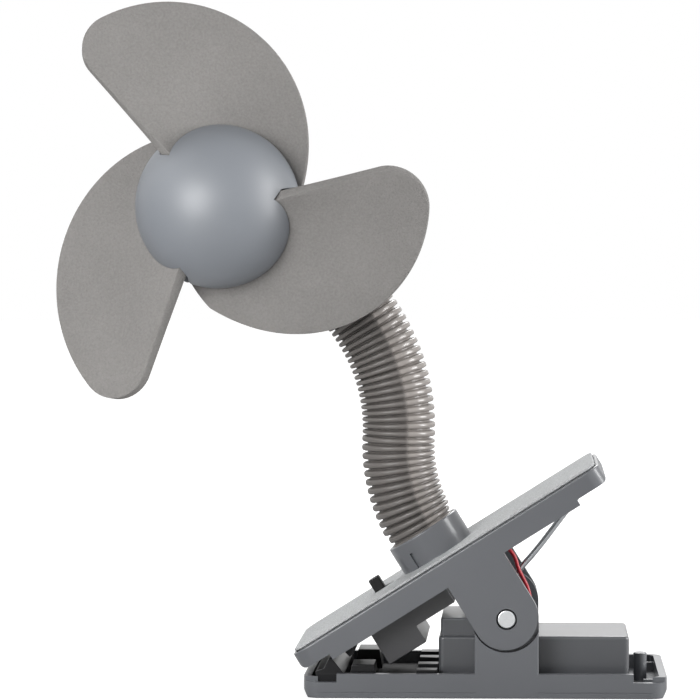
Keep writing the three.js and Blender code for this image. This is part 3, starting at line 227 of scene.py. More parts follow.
grainGroup = makeGrainGroup()


# what a look has where its row doesn't say otherwise
plainLook = {"specular": 0.5, "metal": 0.0, "coat": 0.0, "coatRough": 0.14, "drift": 0.08, "speckle": 0.0,
             "depth": 0.05}


def mouldedMaterial(name, row):
    look = {**plainLook, **row}
    material = bpy.data.materials.new(name)
    material.use_nodes = True
    tree = material.node_tree
    shader = tree.nodes["Principled BSDF"].inputs
    for socket, key in (("Specular IOR Level", "specular"), ("Metallic", "metal"), ("Coat Weight", "coat"),
                        ("Coat Roughness", "coatRough")):
        shader[socket].default_value = look[key]
    place = addNode(tree, "TexCoord")
    grain = addNode(tree, "Group", {
        "Vector": place.outputs["Object"], "Grain Size": look["grain"], "Color": look["color"],
        "Drift": look["drift"], "Roughness": look["rough"], "Speckle": look["speckle"],
    }, node_tree=grainGroup)
    bump = addNode(tree, "Bump", {"Strength": look["bump"], "Distance": look["depth"] * mm,
                                  "Height": grain.outputs["Height"]})
    tree.links.new(grain.outputs["Color"], shader["Base Color"])
    tree.links.new(grain.outputs["Roughness"], shader["Roughness"])
    tree.links.new(bump.outputs["Normal"], shader["Normal"])
    return material


def tintMarked(material, mark, most):  # paints light or shade into the colour: times most where the piece's points carry the mark
    tree = material.node_tree
    color = tree.nodes["Principled BSDF"].inputs["Base Color"]
    marked = addNode(tree, "Attribute", attribute_name=mark).outputs["Fac"]
    paintedLightTint = addNode(tree, "MapRange", {"Value": marked, "To Min": 1.0, "To Max": most})
    scaled = addNode(tree, "VectorMath", {0: color.links[0].from_socket, "Scale": paintedLightTint.outputs["Result"]},
                     operation="SCALE")
    tree.links.new(scaled.outputs[0], color)
    return marked


looks = {
    "grey_plastic": {"color": shade(92, 94, 98), "rough": 0.36, "coat": 0.5, "grain": 2200, "bump": 0.12},
    # the textured plate's colour is set far lighter than the grey plastic of the same lever: painted light, for its
    # top catching the light at a grazing angle
    "textured_grey_plastic": {"color": shade(175, 177, 178), "rough": 0.66, "grain": 2000, "bump": 1.0,
                              "depth": 0.4, "speckle": 1.8},
    "dark_plastic": {"color": shade(60, 60, 62), "rough": 0.36, "coat": 0.4, "grain": 2000, "bump": 0.15},
    "black_grip": {"color": shade(16, 16, 18), "rough": 0.8, "grain": 1400, "bump": 0.1, "specular": 0.35},
    "black_plastic": {"color": shade(18, 18, 19), "rough": 0.5, "grain": 1800, "bump": 0.2, "specular": 0.25},
    "neck_plastic": {"color": shade(101, 97, 94), "rough": 0.42, "grain": 1500, "bump": 0.1},
    "hub_plastic": {"color": shade(112, 116, 122), "rough": 0.5, "specular": 1.0, "grain": 2600, "bump": 0.12},
    "blade_foam": {"color": shade(128, 126, 124), "rough": 0.92, "grain": 1500, "bump": 1.0, "depth": 0.25,
                   "drift": 0.3, "specular": 0.2, "speckle": 0.45},
    "zinc_steel": {"color": shade(226, 228, 229), "rough": 0.3, "grain": 1800, "bump": 0.08, "metal": 1.0},
    "spring_wire": {"color": shade(190, 193, 196), "rough": 0.2, "grain": 1800, "bump": 0.05, "metal": 1.0},
    "nickel_strip": {"color": shade(196, 196, 192), "rough": 0.3, "grain": 1800, "bump": 0.06, "metal": 1.0},
    "cell_jacket": {"color": shade(143, 148, 152), "rough": 0.35, "grain": 1500, "bump": 0.05, "metal": 0.5},
    "motor_can": {"color": shade(178, 180, 182), "rough": 0.34, "grain": 1800, "bump": 0.08, "metal": 1.0},
    "red_pvc": {"color": shade(190, 32, 48), "rough": 0.38, "grain": 1200, "bump": 0.06},
    "black_pvc": {"color": shade(28, 28, 30), "rough": 0.38, "grain": 1200, "bump": 0.06},
}
finishes = {name: mouldedMaterial(name, look) for name, look in looks.items()}
print("materials are mixed")


samePlace = 0.001  # in millimetres: points nearer than this count as one


def activate(piece):
    bpy.ops.object.select_all(action="DESELECT")
    piece.select_set(True)
    bpy.context.view_layer.objects.active = piece


def addBlock(name, low, high):  # a cube between two corners, in millimetres
    middle = [(a + b) / 2 for a, b in zip(low, high)]
    size = [b - a for a, b in zip(low, high)]
    bpy.ops.mesh.primitive_cube_add(size=1, location=middle, scale=size)
    bpy.ops.object.transform_apply(location=True, rotation=True, scale=True)
    return named(name)


def addRod(name, radius, start, end, axis, centre, sides=64):  # along y or z, with its centre in the other two
    middle = (start + end) / 2
    at, lean = ((centre[0], middle, centre[1]), math.pi / 2) if axis == "y" else ((*centre, middle), 0)
    bpy.ops.mesh.primitive_cylinder_add(vertices=sides, radius=radius, depth=end - start, location=at,
                                        rotation=(lean, 0, 0))
    bpy.ops.object.transform_apply(location=True, rotation=True, scale=True)
    return named(name)


def arc(x, z, radius, start, end, count):
    return [(x + radius * math.cos(math.radians(start + (end - start) * i / count)),
             z + radius * math.sin(math.radians(start + (end - start) * i / count))) for i in range(count + 1)]


def addRing(name, points, fill):  # a closed line through the points, filled or not
    bpy.ops.mesh.primitive_circle_add(vertices=len(points), radius=1, fill_type=fill)
    piece = named(name)
    for vertex, point in zip(piece.data.vertices, points):
        vertex.co = point
    return piece


def addSheet(name, columns, rows, place):  # a grid whose points are laid out by place(column, row)
    bpy.ops.mesh.primitive_grid_add(x_subdivisions=columns, y_subdivisions=rows, size=2)
    piece = named(name)
    for vertex in piece.data.vertices:
        vertex.co = place(round((vertex.co.x + 1) / 2 * columns), round((vertex.co.y + 1) / 2 * rows))
    return piece


def faceOutward(piece, merge=0):  # for the active piece, also while it is open for editing
    bpy.ops.object.mode_set(mode="EDIT")
    bpy.ops.mesh.select_all(action="SELECT")
    if merge:
        bpy.ops.mesh.remove_doubles(threshold=merge)
    bpy.ops.mesh.normals_make_consistent(inside=False)
    bpy.ops.object.mode_set(mode="OBJECT")
    return piece


def markPoints(piece, mark, measure):  # gives each point a value that a material can use
    layer = piece.data.attributes.new(mark, "FLOAT", "POINT")
    for vertex in piece.data.vertices:
        layer.data[vertex.index].value = measure(vertex.co)


def addOutline(name, points, near, far):  # an outline of (x, z) points, pulled along y
    piece = addRing(name, [(x, near, z) for x, z in points], "NGON")
    bpy.ops.object.mode_set(mode="EDIT")
    bpy.ops.mesh.select_all(action="SELECT")
    bpy.ops.mesh.extrude_region_move(TRANSFORM_OT_translate={"value": (0, far - near, 0)})
    return faceOutward(piece)


def lathe(name, points, steps=96):  # (radius, depth) points, spun about the fan's axis
    piece = addRing(name, [(radius, depth, 0) for radius, depth in points], "NOTHING")
    bpy.ops.object.mode_set(mode="EDIT")
    if points[0][0] == 0 and points[-1][0] == 0:  # the edge that lies on the axis isn't spun
        pickEdges(piece, lambda a, b: a.x == 0 and b.x == 0)
        bpy.ops.mesh.delete(type="EDGE")
    bpy.ops.mesh.select_all(action="SELECT")
    bpy.ops.mesh.spin(steps=steps, angle=2 * math.pi, center=(0, 0, 0), axis=(0, 1, 0))
    return faceOutward(piece, samePlace)


def pickEdges(piece, test):
    bpy.ops.mesh.select_mode(type="EDGE")
    bpy.ops.mesh.select_all(action="DESELECT")
    shape = bmesh.from_edit_mesh(piece.data)
    for edge in shape.edges:
        edge.select_set(bool(test(edge.verts[0].co, edge.verts[1].co)))
    bmesh.update_edit_mesh(piece.data)


def roundEdges(piece, test, width, segments):
    activate(piece)
    bpy.ops.object.mode_set(mode="EDIT")
    pickEdges(piece, test)
    bpy.ops.mesh.bevel(offset=width, segments=segments, affect="EDGES")
    bpy.ops.object.mode_set(mode="OBJECT")
    return piece


def same(a, b):
    return abs(a - b) < samePlace


def upright(a, b):
    return not same(a.z, b.z) and same(a.x, b.x) and same(a.y, b.y)


def level(z):
    return lambda a, b: same(a.z, z) and same(b.z, z)


def addSlab(name, low, high, corner, top=0, bottom=0, segments=8):  # a block with rounded corners
    piece = addBlock(name, low, high)
    roundEdges(piece, upright, corner, segments)
    if top:
        roundEdges(piece, level(high[2]), top, 3)
    if bottom:
        roundEdges(piece, level(low[2]), bottom, 3)
    return piece


def applyModifier(piece, kind, **settings):
    modifier = piece.modifiers.new(kind.lower(), kind)
    for key, value in settings.items():
        setattr(modifier, key, value)
    activate(piece)
    bpy.ops.object.modifier_apply(modifier=modifier.name)
    return piece


def carve(piece, *cutters, how="DIFFERENCE"):
    for cutter in cutters:
        applyModifier(piece, "BOOLEAN", operation=how, object=cutter, solver="EXACT")
        bpy.data.objects.remove(cutter)
    return piece


def soften(piece, width, segments=2, angle=35):
    return applyModifier(piece, "BEVEL", width=width, segments=segments, limit_method="ANGLE",
                         angle_limit=math.radians(angle), use_clamp_overlap=True)


def fuse(first, *others):
    activate(first)
    for other in others:
        other.select_set(True)
    bpy.ops.object.join()
    return first


def twin(piece):  # the same piece on the far side
    activate(piece)
    bpy.ops.object.duplicate()
    other = bpy.context.object
    other.data.transform(Matrix.Scale(-1, 4, (0, 1, 0)))
    bpy.ops.object.mode_set(mode="EDIT")
    bpy.ops.mesh.select_all(action="SELECT")
    bpy.ops.mesh.flip_normals()
    bpy.ops.object.mode_set(mode="OBJECT")
    return fuse(piece, other)


def settle(piece, body, slot, nodes, place=None, angle=35, weighted=True):  # to metres and onto its body
    if place:
        piece.data.transform(place)
    activate(piece)
    piece.scale = (mm, mm, mm)
    bpy.ops.object.transform_apply(location=True, rotation=True, scale=True)
    if angle:
        bpy.ops.object.shade_smooth_by_angle(angle=math.radians(angle))
    else:
        bpy.ops.object.shade_smooth()
    if weighted:
        applyModifier(piece, "WEIGHTED_NORMAL", weight=60, keep_sharp=True)
    piece.data.materials.clear()
    piece.data.materials.append(finishes[slot])
    if body:
        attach(piece, body)
    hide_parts(*nodes)
    return piece


def paintCadNodes():
    for row in frame["record"]["subparts"]:
        node = frame["nodes"][row["node"]]
        node.data.materials.clear()
        node.data.materials.append(finishes[row["material_slot"]])


paintCadNodes()


# the fan's own frame: x right, y back from the hub's centre, z up
head = {"centre": (-79.05, -25, 145.56), "yaw": -6.0}
headPlace = Matrix.Translation(head["centre"]) @ Matrix.Rotation(math.radians(head["yaw"]), 4, "Z")

blade = {
    "thickness": 3.3, "root": 17.0, "bulgeStart": 0.55, "tipStart": 0.9, "rootSteps": 22, "rimSteps": 84,
    "crowding": 1.3, "edge": 0.3, "fill": 1.0,
}
rootSeat = blade["root"] + 1  # further in, the blade keeps the edge and the slope that it has here
# each foam blade sits and curls a little differently
bladeRows = [
    {"span": 118.0, "notch": 129.4, "notchRadius": 16.8, "sweep": 3.1, "rise": 14.2, "drop": 4.4, "curl": 2.37,
     "lobe": 39.4, "lobeOut": 24.7, "lobeTurn": -6.3, "corner": 9.9, "bulge": 1.9, "tipCut": 0.0},
    {"span": 116.2, "notch": 7.1, "notchRadius": 17.9, "sweep": 7.4, "rise": 12.5, "drop": 1.4, "curl": 3.9,
     "lobe": 40.4, "lobeOut": 24.0, "lobeTurn": -0.8, "corner": 11.1, "bulge": 3.4, "tipCut": 2.6},
    {"span": 118.0, "notch": -112.7, "notchRadius": 17.8, "sweep": 3.2, "rise": 12.2, "drop": 6.4, "curl": 2.42,
     "lobe": 45.6, "lobeOut": 22.5, "lobeTurn": 14.7, "corner": 10.7, "bulge": -0.5, "tipCut": 0.0},
]


def leadAngle(row, radius):  # the straight leading edge, from the notch's own angle
    clearance = row["notchRadius"] * math.sin(math.radians(row["sweep"]))
    return row["sweep"] - math.degrees(math.asin(clearance / radius))


def bladeDepth(row, share):
    left = 1 - min(max(share, 0), 1)
    return row["drop"] - (row["rise"] + row["drop"]) * left ** row["curl"]


def bladeSlope(row, share, radius):  # how steeply the blade falls as it goes round
    left = 1 - min(max(share, 0), 1)
    fall = row["curl"] * (row["rise"] + row["drop"]) * left ** (row["curl"] - 1)
    return fall / math.radians(row["span"]) / radius


def bladeRim(row, steps):
    sweep, turn = math.radians(row["sweep"]), math.radians(row["lobeTurn"])
    along = Vector((math.cos(sweep), math.sin(sweep)))
    out = Vector((-along.y, along.x))
    lobe = row["lobeOut"] * Vector((math.cos(turn), math.sin(turn)))
    inset = (Vector((row["notchRadius"], 0)) - lobe).dot(out) - row["corner"]
    reach = math.sqrt((row["lobe"] - row["corner"]) ** 2 - inset ** 2)
    corner = lobe + out * inset + along * reach
    start = math.atan2(out.y, out.x)
    end = math.atan2(corner.y - lobe.y, corner.x - lobe.x)
    rim = []
    cornerSteps = steps // 5
    for i in range(cornerSteps + 1):
        angle = start + (end - start) * i / cornerSteps
        point = corner + row["corner"] * Vector((math.cos(angle), math.sin(angle)))
        rim.append((point.length, math.degrees(math.atan2(point.y, point.x))))
    first = rim[-1][1]
    lobeSteps = steps - cornerSteps
    for i in range(1, lobeSteps + 1):
        angle = first + (-row["span"] - first) * i / lobeSteps
        off = math.radians(angle - row["lobeTurn"])
        radius = row["lobeOut"] * math.cos(off) + math.sqrt(
            row["lobe"] ** 2 - (row["lobeOut"] * math.sin(off)) ** 2)
        share = (leadAngle(row, radius) - angle) / row["span"]
        tail = max((share - blade["bulgeStart"]) / (1 - blade["bulgeStart"]), 0)
        tip = max((share - blade["tipStart"]) / (1 - blade["tipStart"]), 0)
        rim.append((radius + row["bulge"] * tail * tail - row["tipCut"] * tip, angle))
    return rim


def bladePoint(row, rim, i, k):  # i counts round the rim and k outward from the root
    radius, angle = rim[i]
    rootAngle = leadAngle(row, rootSeat) - row["span"] * i / blade["rimSteps"]
    share = (k / blade["rootSteps"]) ** blade["crowding"]
    r = blade["root"] + (radius - blade["root"]) * share
    straight = leadAngle(row, r)
    a = min(straight if i == 0 else rootAngle + (angle - rootAngle) * share, straight)
    around = math.radians(a + row["notch"])
    return (r * math.cos(around), bladeDepth(row, (straight - a) / row["span"]), r * math.sin(around))


def addBlade(name, row):
    rim = bladeRim(row, blade["rimSteps"])
    piece = addSheet(name, blade["rimSteps"], blade["rootSteps"], lambda i, k: bladePoint(row, rim, i, k))
    faceOutward(piece, samePlace)
    applyModifier(piece, "SOLIDIFY", thickness=blade["thickness"], offset=0, use_even_offset=True)
    return soften(piece, blade["edge"], 2, 50)


for i, row in enumerate(bladeRows):
    piece = addBlade(f"foamBlade{i + 1}", row)
    settle(piece, "rotor", "blade_foam", [f"fan_blade_{i + 1}"], headPlace, 45, False)
print("blades are cut")

hub = {
    "radius": 24.4, "shell": 2.6, "back": 12.4, "gap": 0.42, "rearWall": 0.7, "edge": 0.25, "boss": 14.0,
    "mouth": 0.92, "mouthDeep": 4.0, "beyond": 60.0, "cutOverlap": 0.2,
    "cutRings": [0.02, 8.0, 14.0, 18.0, 20.0, 22.0, 24.0, 26.0, 30.0], "cutSteps": 40,
}


def domePoints():
    radius, back, inside = hub["radius"], hub["back"], hub["radius"] - hub["shell"]
    outer = arc(0, 0, radius, -90, math.degrees(math.asin(back / radius)), 40)
    inner = arc(0, 0, inside, 0, -90, 12)
    mouth = inside * hub["mouth"]
    return ([(0, -radius)] + outer[1:] + [(mouth, back), (mouth, back - hub["mouthDeep"])]
            + inner[:-1] + [(0, -inside)])


def besideBlade(row, fromNotch, radius, sign):  # a point just off the blade's front or back face
    share = (leadAngle(row, max(radius, rootSeat)) - fromNotch) / row["span"]
    steep = math.hypot(1, bladeSlope(row, share, max(radius, hub["boss"])))
    angle = math.radians(row["notch"] + fromNotch)
    depth = bladeDepth(row, share) + sign * (blade["thickness"] / 2 * steep + hub["gap"])
    return (radius * math.cos(angle), depth, radius * math.sin(angle))


def wallAngles(row, radius):  # the leading edge is cut square to the blade, so the wall beside it leans
    seat = max(radius, rootSeat)
    slope = bladeSlope(row, 0, seat)
    lean = math.degrees(blade["thickness"] / 2 * slope / math.hypot(1, slope) / seat)
    gap = math.degrees(hub["gap"] / seat)
    return leadAngle(row, seat) - lean + gap, leadAngle(row, seat) + lean + gap


def cutRing(radius, sign):
    ring = []
    for i, row in enumerate(bladeRows):
        after = bladeRows[(i + 1) % len(bladeRows)]
        apart = (row["notch"] - after["notch"]) % 360
        near, deep = hub["rearWall"], hub["rearWall"]
        if sign < 0:
            near, deep = wallAngles(row, radius)[0], wallAngles(after, radius)[1]
        for k in range(hub["cutSteps"] + 1):
            angle = near + (deep + hub["cutOverlap"] - apart - near) * k / hub["cutSteps"]
            ring.append(besideBlade(row, angle, radius, sign))
        if sign < 0:  # the wall's foot, level with the back of the next blade's cut edge
            steep = math.hypot(1, bladeSlope(after, 0, max(radius, rootSeat)))
            x, y, z = besideBlade(after, deep, radius, sign)
            ring.append((x, bladeDepth(after, 0) + blade["thickness"] / 2 / steep + hub["gap"], z))
    return ring


def addBladeSide(name, sign):  # all that lies before (-1) or behind (1) the blades
    rings = [cutRing(radius, sign) for radius in hub["cutRings"]]
    far = sign * hub["beyond"]
    rings += [[(x, far, z) for x, y, z in ring] for ring in (rings[-1], rings[0])]
    count = len(rings[0])
    piece = addSheet(name, count, len(rings), lambda i, k: rings[k % len(rings)][i % count])
    return faceOutward(piece, samePlace / 2)


for name, sign, node in (("hubDome", -1, "fan_hub_front"), ("hubSkirt", 1, "fan_hub_rear")):
    half = lathe(name, domePoints(), 128)
    carve(half, addBladeSide("side", sign), how="INTERSECT")
    soften(half, hub["edge"], 2, 50)
    settle(half, "rotor", "hub_plastic", [node], headPlace, 40)
print("hub is turned")


neck = {
    "start": (-16.26, 42.49), "heading": 122.0, "pitch": 2.26, "crest": 11.1, "socketCrest": 10.5,
    "socketDepth": 8.9, "valley": 9.4, "wall": 1.0, "sides": 112, "seamTurn": 17.0, "ridge": 0.3, "ridgeTurn": 3.4,
    # to the right of the mould seam the colour is brightened twofold: a painted highlight, beside the lower
    # roughness that is the plastic's own gloss
    "glossAndHighlightTurn": 4.0, "glossRough": 0.2, "paintedHighlightTint": 2.1, "wireSides": 16, "wireRings": 40,
    "wireBelow": 2.4, "wireAbove": 3.0,
    "runs": [(6.0, 0), (48 * math.radians(35), -35), (57.5 * math.radians(33.5), 33.5),
             (73 * math.radians(24.5), 24.5), (5.0, 0)],
    # one rib from groove to groove: how far along, and how high
    "rib": [(0.0, 0.0), (0.09, 0.03), (0.135, 0.4), (0.17, 0.72), (0.25, 0.91), (0.36, 0.98), (0.5, 1.0),
            (0.64, 0.98), (0.75, 0.91), (0.83, 0.72), (0.865, 0.4), (0.91, 0.03)],
}
neckLength = sum(length for length, turn in neck["runs"])


def neckAt(distance):  # place and heading after that length of the neck
    x, z = neck["start"]
    heading, left = neck["heading"], distance
    for length, turn in neck["runs"]:
        part = max(0, min(left, length))
        bend = turn * part / length
        middle, half = math.radians(heading + bend / 2), math.radians(bend / 2)
        chord = part if bend == 0 else part * math.sin(half) / half
        x += chord * math.cos(middle)
        z += chord * math.sin(middle)
        heading += bend
        left -= part
    x += left * math.cos(math.radians(heading))
    z += left * math.sin(math.radians(heading))
    return x, z, heading


def bendAlongNeck(piece):  # y is the length along the straight piece, x points to the bend's outside
    for vertex in piece.data.vertices:
        x, z, heading = neckAt(vertex.co.y)
        across = math.radians(heading - 90)
        out = vertex.co.x
        vertex.co = (x + out * math.cos(across), vertex.co.z, z + out * math.sin(across))


def ribPoints(start, end):  # the ribs from one groove to another
    count = round(neckLength / neck["pitch"])
    pitch = neckLength / count
    first, last = round(start / pitch), round(end / pitch)
    valley = neck["valley"]
    points = []
    for i in range(first, last):
        crest = neck["socketCrest"] if i * pitch < neck["socketDepth"] else neck["crest"]
        for along, rise in neck["rib"]:
            points.append((valley + (crest - valley) * rise, (i + along) * pitch))
    inner = valley - neck["wall"]
    points += [(valley, last * pitch), (inner, last * pitch)]
    return points + [(inner, i * pitch) for i in range(last - 1, first - 1, -1)]


def sideTurn(point):  # 0 faces the viewer, and it grows to the right
    return math.atan2(point.x, -point.z)


def addNeckPart(name, start, end):
    hose = lathe(name, ribPoints(start, end), neck["sides"])
    seam, fade = math.radians(neck["seamTurn"]), math.radians(neck["glossAndHighlightTurn"])
    # the mark right of the mould seam lowers the roughness and also brightens the colour as a painted highlight
    markPoints(hose, "glossAndPaintedHighlight", lambda at: min(max((sideTurn(at) - seam) / fade + 0.5, 0), 1))
    for vertex in hose.data.vertices:
        off = abs(sideTurn(vertex.co) - seam) / math.radians(neck["ridgeTurn"])
        if off < 1 and math.hypot(vertex.co.x, vertex.co.z) > neck["valley"] + 0.5:
            lift = 1 + neck["ridge"] / neck["crest"] * (1 - off)
            vertex.co.x *= lift
            vertex.co.z *= lift
    bendAlongNeck(hose)
    return faceOutward(hose)


def addNeckTube(name, radius, side, start, end):  # a wire inside the neck
    rings = neck["wireRings"]
    wall = [(radius, start + (end - start) * i / rings) for i in range(rings + 1)]
    tube = lathe(name, [(0, start)] + wall + [(0, end)], neck["wireSides"])
    for vertex in tube.data.vertices:
        vertex.co.z += side
    bendAlongNeck(tube)
    return faceOutward(tube)


neckMiddle = 56.0  # where the lower half ends and the upper half starts
blends = {
    "lower": {"between": ("lever", "neck"), "from": 8.0, "to": 50.0},
    "upper": {"between": ("neck", "head"), "from": 64.0, "to": 97.0},
}


def neckPoint(distance):
    x, z, heading = neckAt(distance)
    return (x * mm, 0.0, z * mm)


def hang(piece, part):
    row = blends[part]
    neckPoint(row["from"])
    neckPoint(row["to"])
    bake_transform(piece)


def addNeckMaterial():  # matt to the left of the mould seam, glossier to the right of it, where the colour is also brightened as a painted highlight
    material = mouldedMaterial("ribbedNeck", looks["neck_plastic"])
    tree = material.node_tree
    # painted highlight: the colour is brightened on the right of the seam
    side = tintMarked(material, "glossAndPaintedHighlight", neck["paintedHighlightTint"])
    roughness = tree.nodes["Principled BSDF"].inputs["Roughness"]
    mixed = addNode(tree, "Mix", {"Factor": side, "A": roughness.links[0].from_socket, "B": neck["glossRough"]})
    tree.links.new(mixed.outputs["Result"], roughness)
    return material


neckMaterial = addNeckMaterial()
neckSpans = {"lower": (0.0, neckMiddle), "upper": (neckMiddle, neckLength)}
neckWires = {
    "coreWire": {"radius": 1.2, "side": 0.0, "slot": "zinc_steel", "node": "neck_core_wire"},
    "motorLeadRed": {"radius": 0.6, "side": 5.0, "slot": "red_pvc", "node": "motor_lead_red"},
    "motorLeadBlack": {"radius": 0.6, "side": -5.0, "slot": "black_pvc", "node": "motor_lead_black"},
}
for part, (start, end) in neckSpans.items():
    hose = addNeckPart(f"ribbedNeck.{part}", start, end)
    settle(hose, None, "neck_plastic", ["neck_hose"], None, 80, False)
    hose.data.materials[0] = neckMaterial
    hang(hose, part)
    for name, wire in neckWires.items():
        low = -neck["wireBelow"] if part == "lower" else start
        high = end if part == "lower" else end + neck["wireAbove"]
        piece = addNeckTube(f"{name}.{part}", wire["radius"], wire["side"], low, high)
        settle(piece, None, wire["slot"], [wire["node"]], None, 60, False)
        hang(piece, part)
print("neck is bent")


# the lever's own frame: u along it, v square to its top
hinge = {"x": 6.4, "z": 23.4, "tilt": 32.0}
leverPlace = (Matrix.Translation((hinge["x"], 0, hinge["z"]))
              @ Matrix.Rotation(math.radians(-hinge["tilt"]), 4, "Y"))


def leverPoint(u, y, v):
    return leverPlace @ Vector((u, y, v))


lever = {
    "tip": -59.6, "squeeze": 47.2, "half": 25.5, "corner": 5.0, "wall": 2.3,
    "sideBottom": 17.1, "endBottom": 19.0, "tipStep": 9.7, "squeezeStep": 10.8, "insideTop": 23.3, "seat": 23.2,
    "frameTop": 24.4, "rim": 0.9, "rimEdge": 0.5, "edge": 0.3, "tipRound": 2.2, "squeezeRound": 1.6,
    "earRadius": 9.7, "earInner": 22.5, "earRise": 0.8, "earTop": 19.0, "pinHole": 3.1,
    "restLength": 11.0, "restHalf": 8.0, "restTop": 22.6, "restThickness": 1.4, "restIn": 0.5, "restEdge": 0.2,
}


def leverSlab(name, inset, low, high, corner, top=0, segments=8):  # the lever's plan, drawn in all round
    return addSlab(name, (lever["tip"] + inset, -lever["half"] + inset, low),
                   (lever["squeeze"] - inset, lever["half"] - inset, high), corner, top, 0, segments)


def leverRound(name, u, side, turn):  # cuts the frame's lower corner round at that end
    v, middle = lever["endBottom"], u + side * turn
    corner = [(middle, v - 1)]
    for i in range(0, 91, 9):
        angle = math.radians(i)
        corner.append((middle - side * turn * math.sin(angle), v + turn - turn * math.cos(angle)))
    corner += [(u - side, v + turn), (u - side, v - 1)]
    return addOutline(name, corner, -30, 30)


def addLeverFrame():
    left, right, half = lever["tip"], lever["squeeze"], lever["half"]
    low, high, corner = lever["sideBottom"], lever["frameTop"], lever["corner"]
    wall, rim = lever["wall"], lever["rim"]
    frameSides = leverSlab("leverFrame", 0, low, high, corner, lever["rimEdge"], 10)
    carve(frameSides, leverSlab("inside", wall, low - 1, lever["insideTop"], corner - wall),
          leverSlab("panelSeat", rim, lever["seat"], high + 1, corner - rim))
    for start, end in ((left - 1, left + lever["tipStep"]), (right - lever["squeezeStep"], right + 1)):
        carve(frameSides, addBlock("endStep", (start, -30, low - 1), (end, 30, lever["endBottom"])))
    carve(frameSides, leverRound("tipRound", left, 1, lever["tipRound"]))
    carve(frameSides, leverRound("squeezeRound", right, -1, lever["squeezeRound"]))
    radius, earTop = lever["earRadius"], lever["earTop"]
    outline = arc(0, lever["earRise"], radius, 180, 360, 48) + [(radius, earTop), (-radius, earTop)]
    carve(frameSides, twin(addOutline("ear", outline, -half, -lever["earInner"])), how="UNION")
    carve(frameSides, addRod("pinHole", lever["pinHole"], -30, 30, "y", (0, 0)))
    soften(frameSides, lever["edge"], 3, 50)
    restRight, restTop = right - wall + lever["restIn"], lever["restTop"]
    rest = addBlock("springRest", (restRight - lever["restLength"], -lever["restHalf"],
                                   restTop - lever["restThickness"]), (restRight, lever["restHalf"], restTop))
    return fuse(frameSides, soften(rest, lever["restEdge"]))


settle(addLeverFrame(), "lever", "grey_plastic", ["lever_frame"], leverPlace)

panel = {
    "top": 25.4, "low": 24.75, "edge": 0.3, "fineEdge": 0.12, "shadowGap": 0.7, "gapLow": 23.5,
    "under": 22.7, "flangeTop": 23.6, "flangeIn": 0.3, "leadWay": 6.8,
    "socketU": -9.1, "socketRadius": 11.85, "socketLow": 24.6, "socketTop": 34.2, "socketEdge": 0.5,
    "bore": 10.8, "boreLow": 25.1, "boreEdge": 0.3, "foot": 0.45, "footLow": 25.15,
    "slitTurn": 60.0, "slit": ((-13, 25.3, -0.65), (-11.1, 30.4, 0.65)),
    "slotU": -28.1, "slotHalf": 3.45, "slotWidth": 2.3,
}


def addLeverPanel():  # the textured plate that lies in the frame
    inset, corner = lever["rim"], lever["corner"]
    gap, inner = inset + panel["shadowGap"], lever["wall"] + panel["flangeIn"]
    plate = leverSlab("leverPanel", inset, panel["low"], panel["top"], corner - inset, panel["edge"], 10)
    carve(plate, leverSlab("shadowGap", gap, panel["gapLow"], panel["low"] + 0.1, corner - gap),
          leverSlab("flange", inner, panel["under"], panel["flangeTop"], corner - lever["wall"]), how="UNION")
    u, half, width = panel["slotU"], panel["slotHalf"], panel["slotWidth"]
    carve(plate, addRod("leadWay", panel["leadWay"], 20, 30, "z", (panel["socketU"], 0)),
          addBlock("switchSlot", (u - half, -width, 20), (u + half, width, 30)))
    return soften(plate, panel["fineEdge"], 2, 50)


def addSocket():
    radius, foot, footLow = panel["socketRadius"], panel["foot"], panel["footLow"]
    low, top, edge = panel["socketLow"], panel["socketTop"], panel["socketEdge"]
    bore, boreLow, boreEdge = panel["bore"], panel["boreLow"], panel["boreEdge"]
    points = [(radius + foot, low), (radius + foot, footLow)]
    points += arc(radius + foot, footLow + foot, foot, 270, 180, 6)[1:]
    points += arc(radius - edge, top - edge, edge, 0, 90, 6)
    points += [(bore + boreEdge, top), (bore, top - boreEdge), (bore, boreLow)]
    points += [(panel["leadWay"], boreLow), (panel["leadWay"], low)]
    socket = lathe("neckSocket", points, 96)
    slit = addBlock("slit", *panel["slit"])
    slit.data.transform(Matrix.Rotation(math.radians(panel["slitTurn"]), 4, "Y"))
    carve(socket, slit)
    socket.data.transform(Matrix.Translation((panel["socketU"], 0, 0)) @ Matrix.Rotation(math.pi / 2, 4, "X"))
    return socket


settle(addLeverPanel(), "lever", "textured_grey_plastic", ["lever_top_cover"], leverPlace)
settle(addSocket(), "lever", "grey_plastic", ["lever_top_cover"], leverPlace)
print("lever is made")

knob = {
    "left": -31.4, "length": 3.5, "half": 2.0, "low": 22.7, "top": 29.5,
    "corner": 0.45, "topEdge": 0.35, "fineEdge": 0.06,
    "grooves": 4, "grooveStart": 0.62, "groovePitch": 0.69, "grooveHalf": 0.14, "grooveDeep": 0.3,
}


def addKnob():
    left, right, top = knob["left"], knob["left"] + knob["length"], knob["top"]
    piece = addSlab("switchKnob", (left, -knob["half"], knob["low"]), (right, knob["half"], top),
                    knob["corner"], knob["topEdge"], 0, 3)
    for i in range(knob["grooves"]):
        u, half = left + knob["grooveStart"] + i * knob["groovePitch"], knob["grooveHalf"]
        carve(piece, addBlock("groove", (u - half, -3, top - knob["grooveDeep"]), (u + half, 3, top + 1)))
    return soften(piece, knob["fineEdge"], 2, 60)


settle(addKnob(), "switch_knob", "black_plastic", ["switch_knob"], leverPlace)


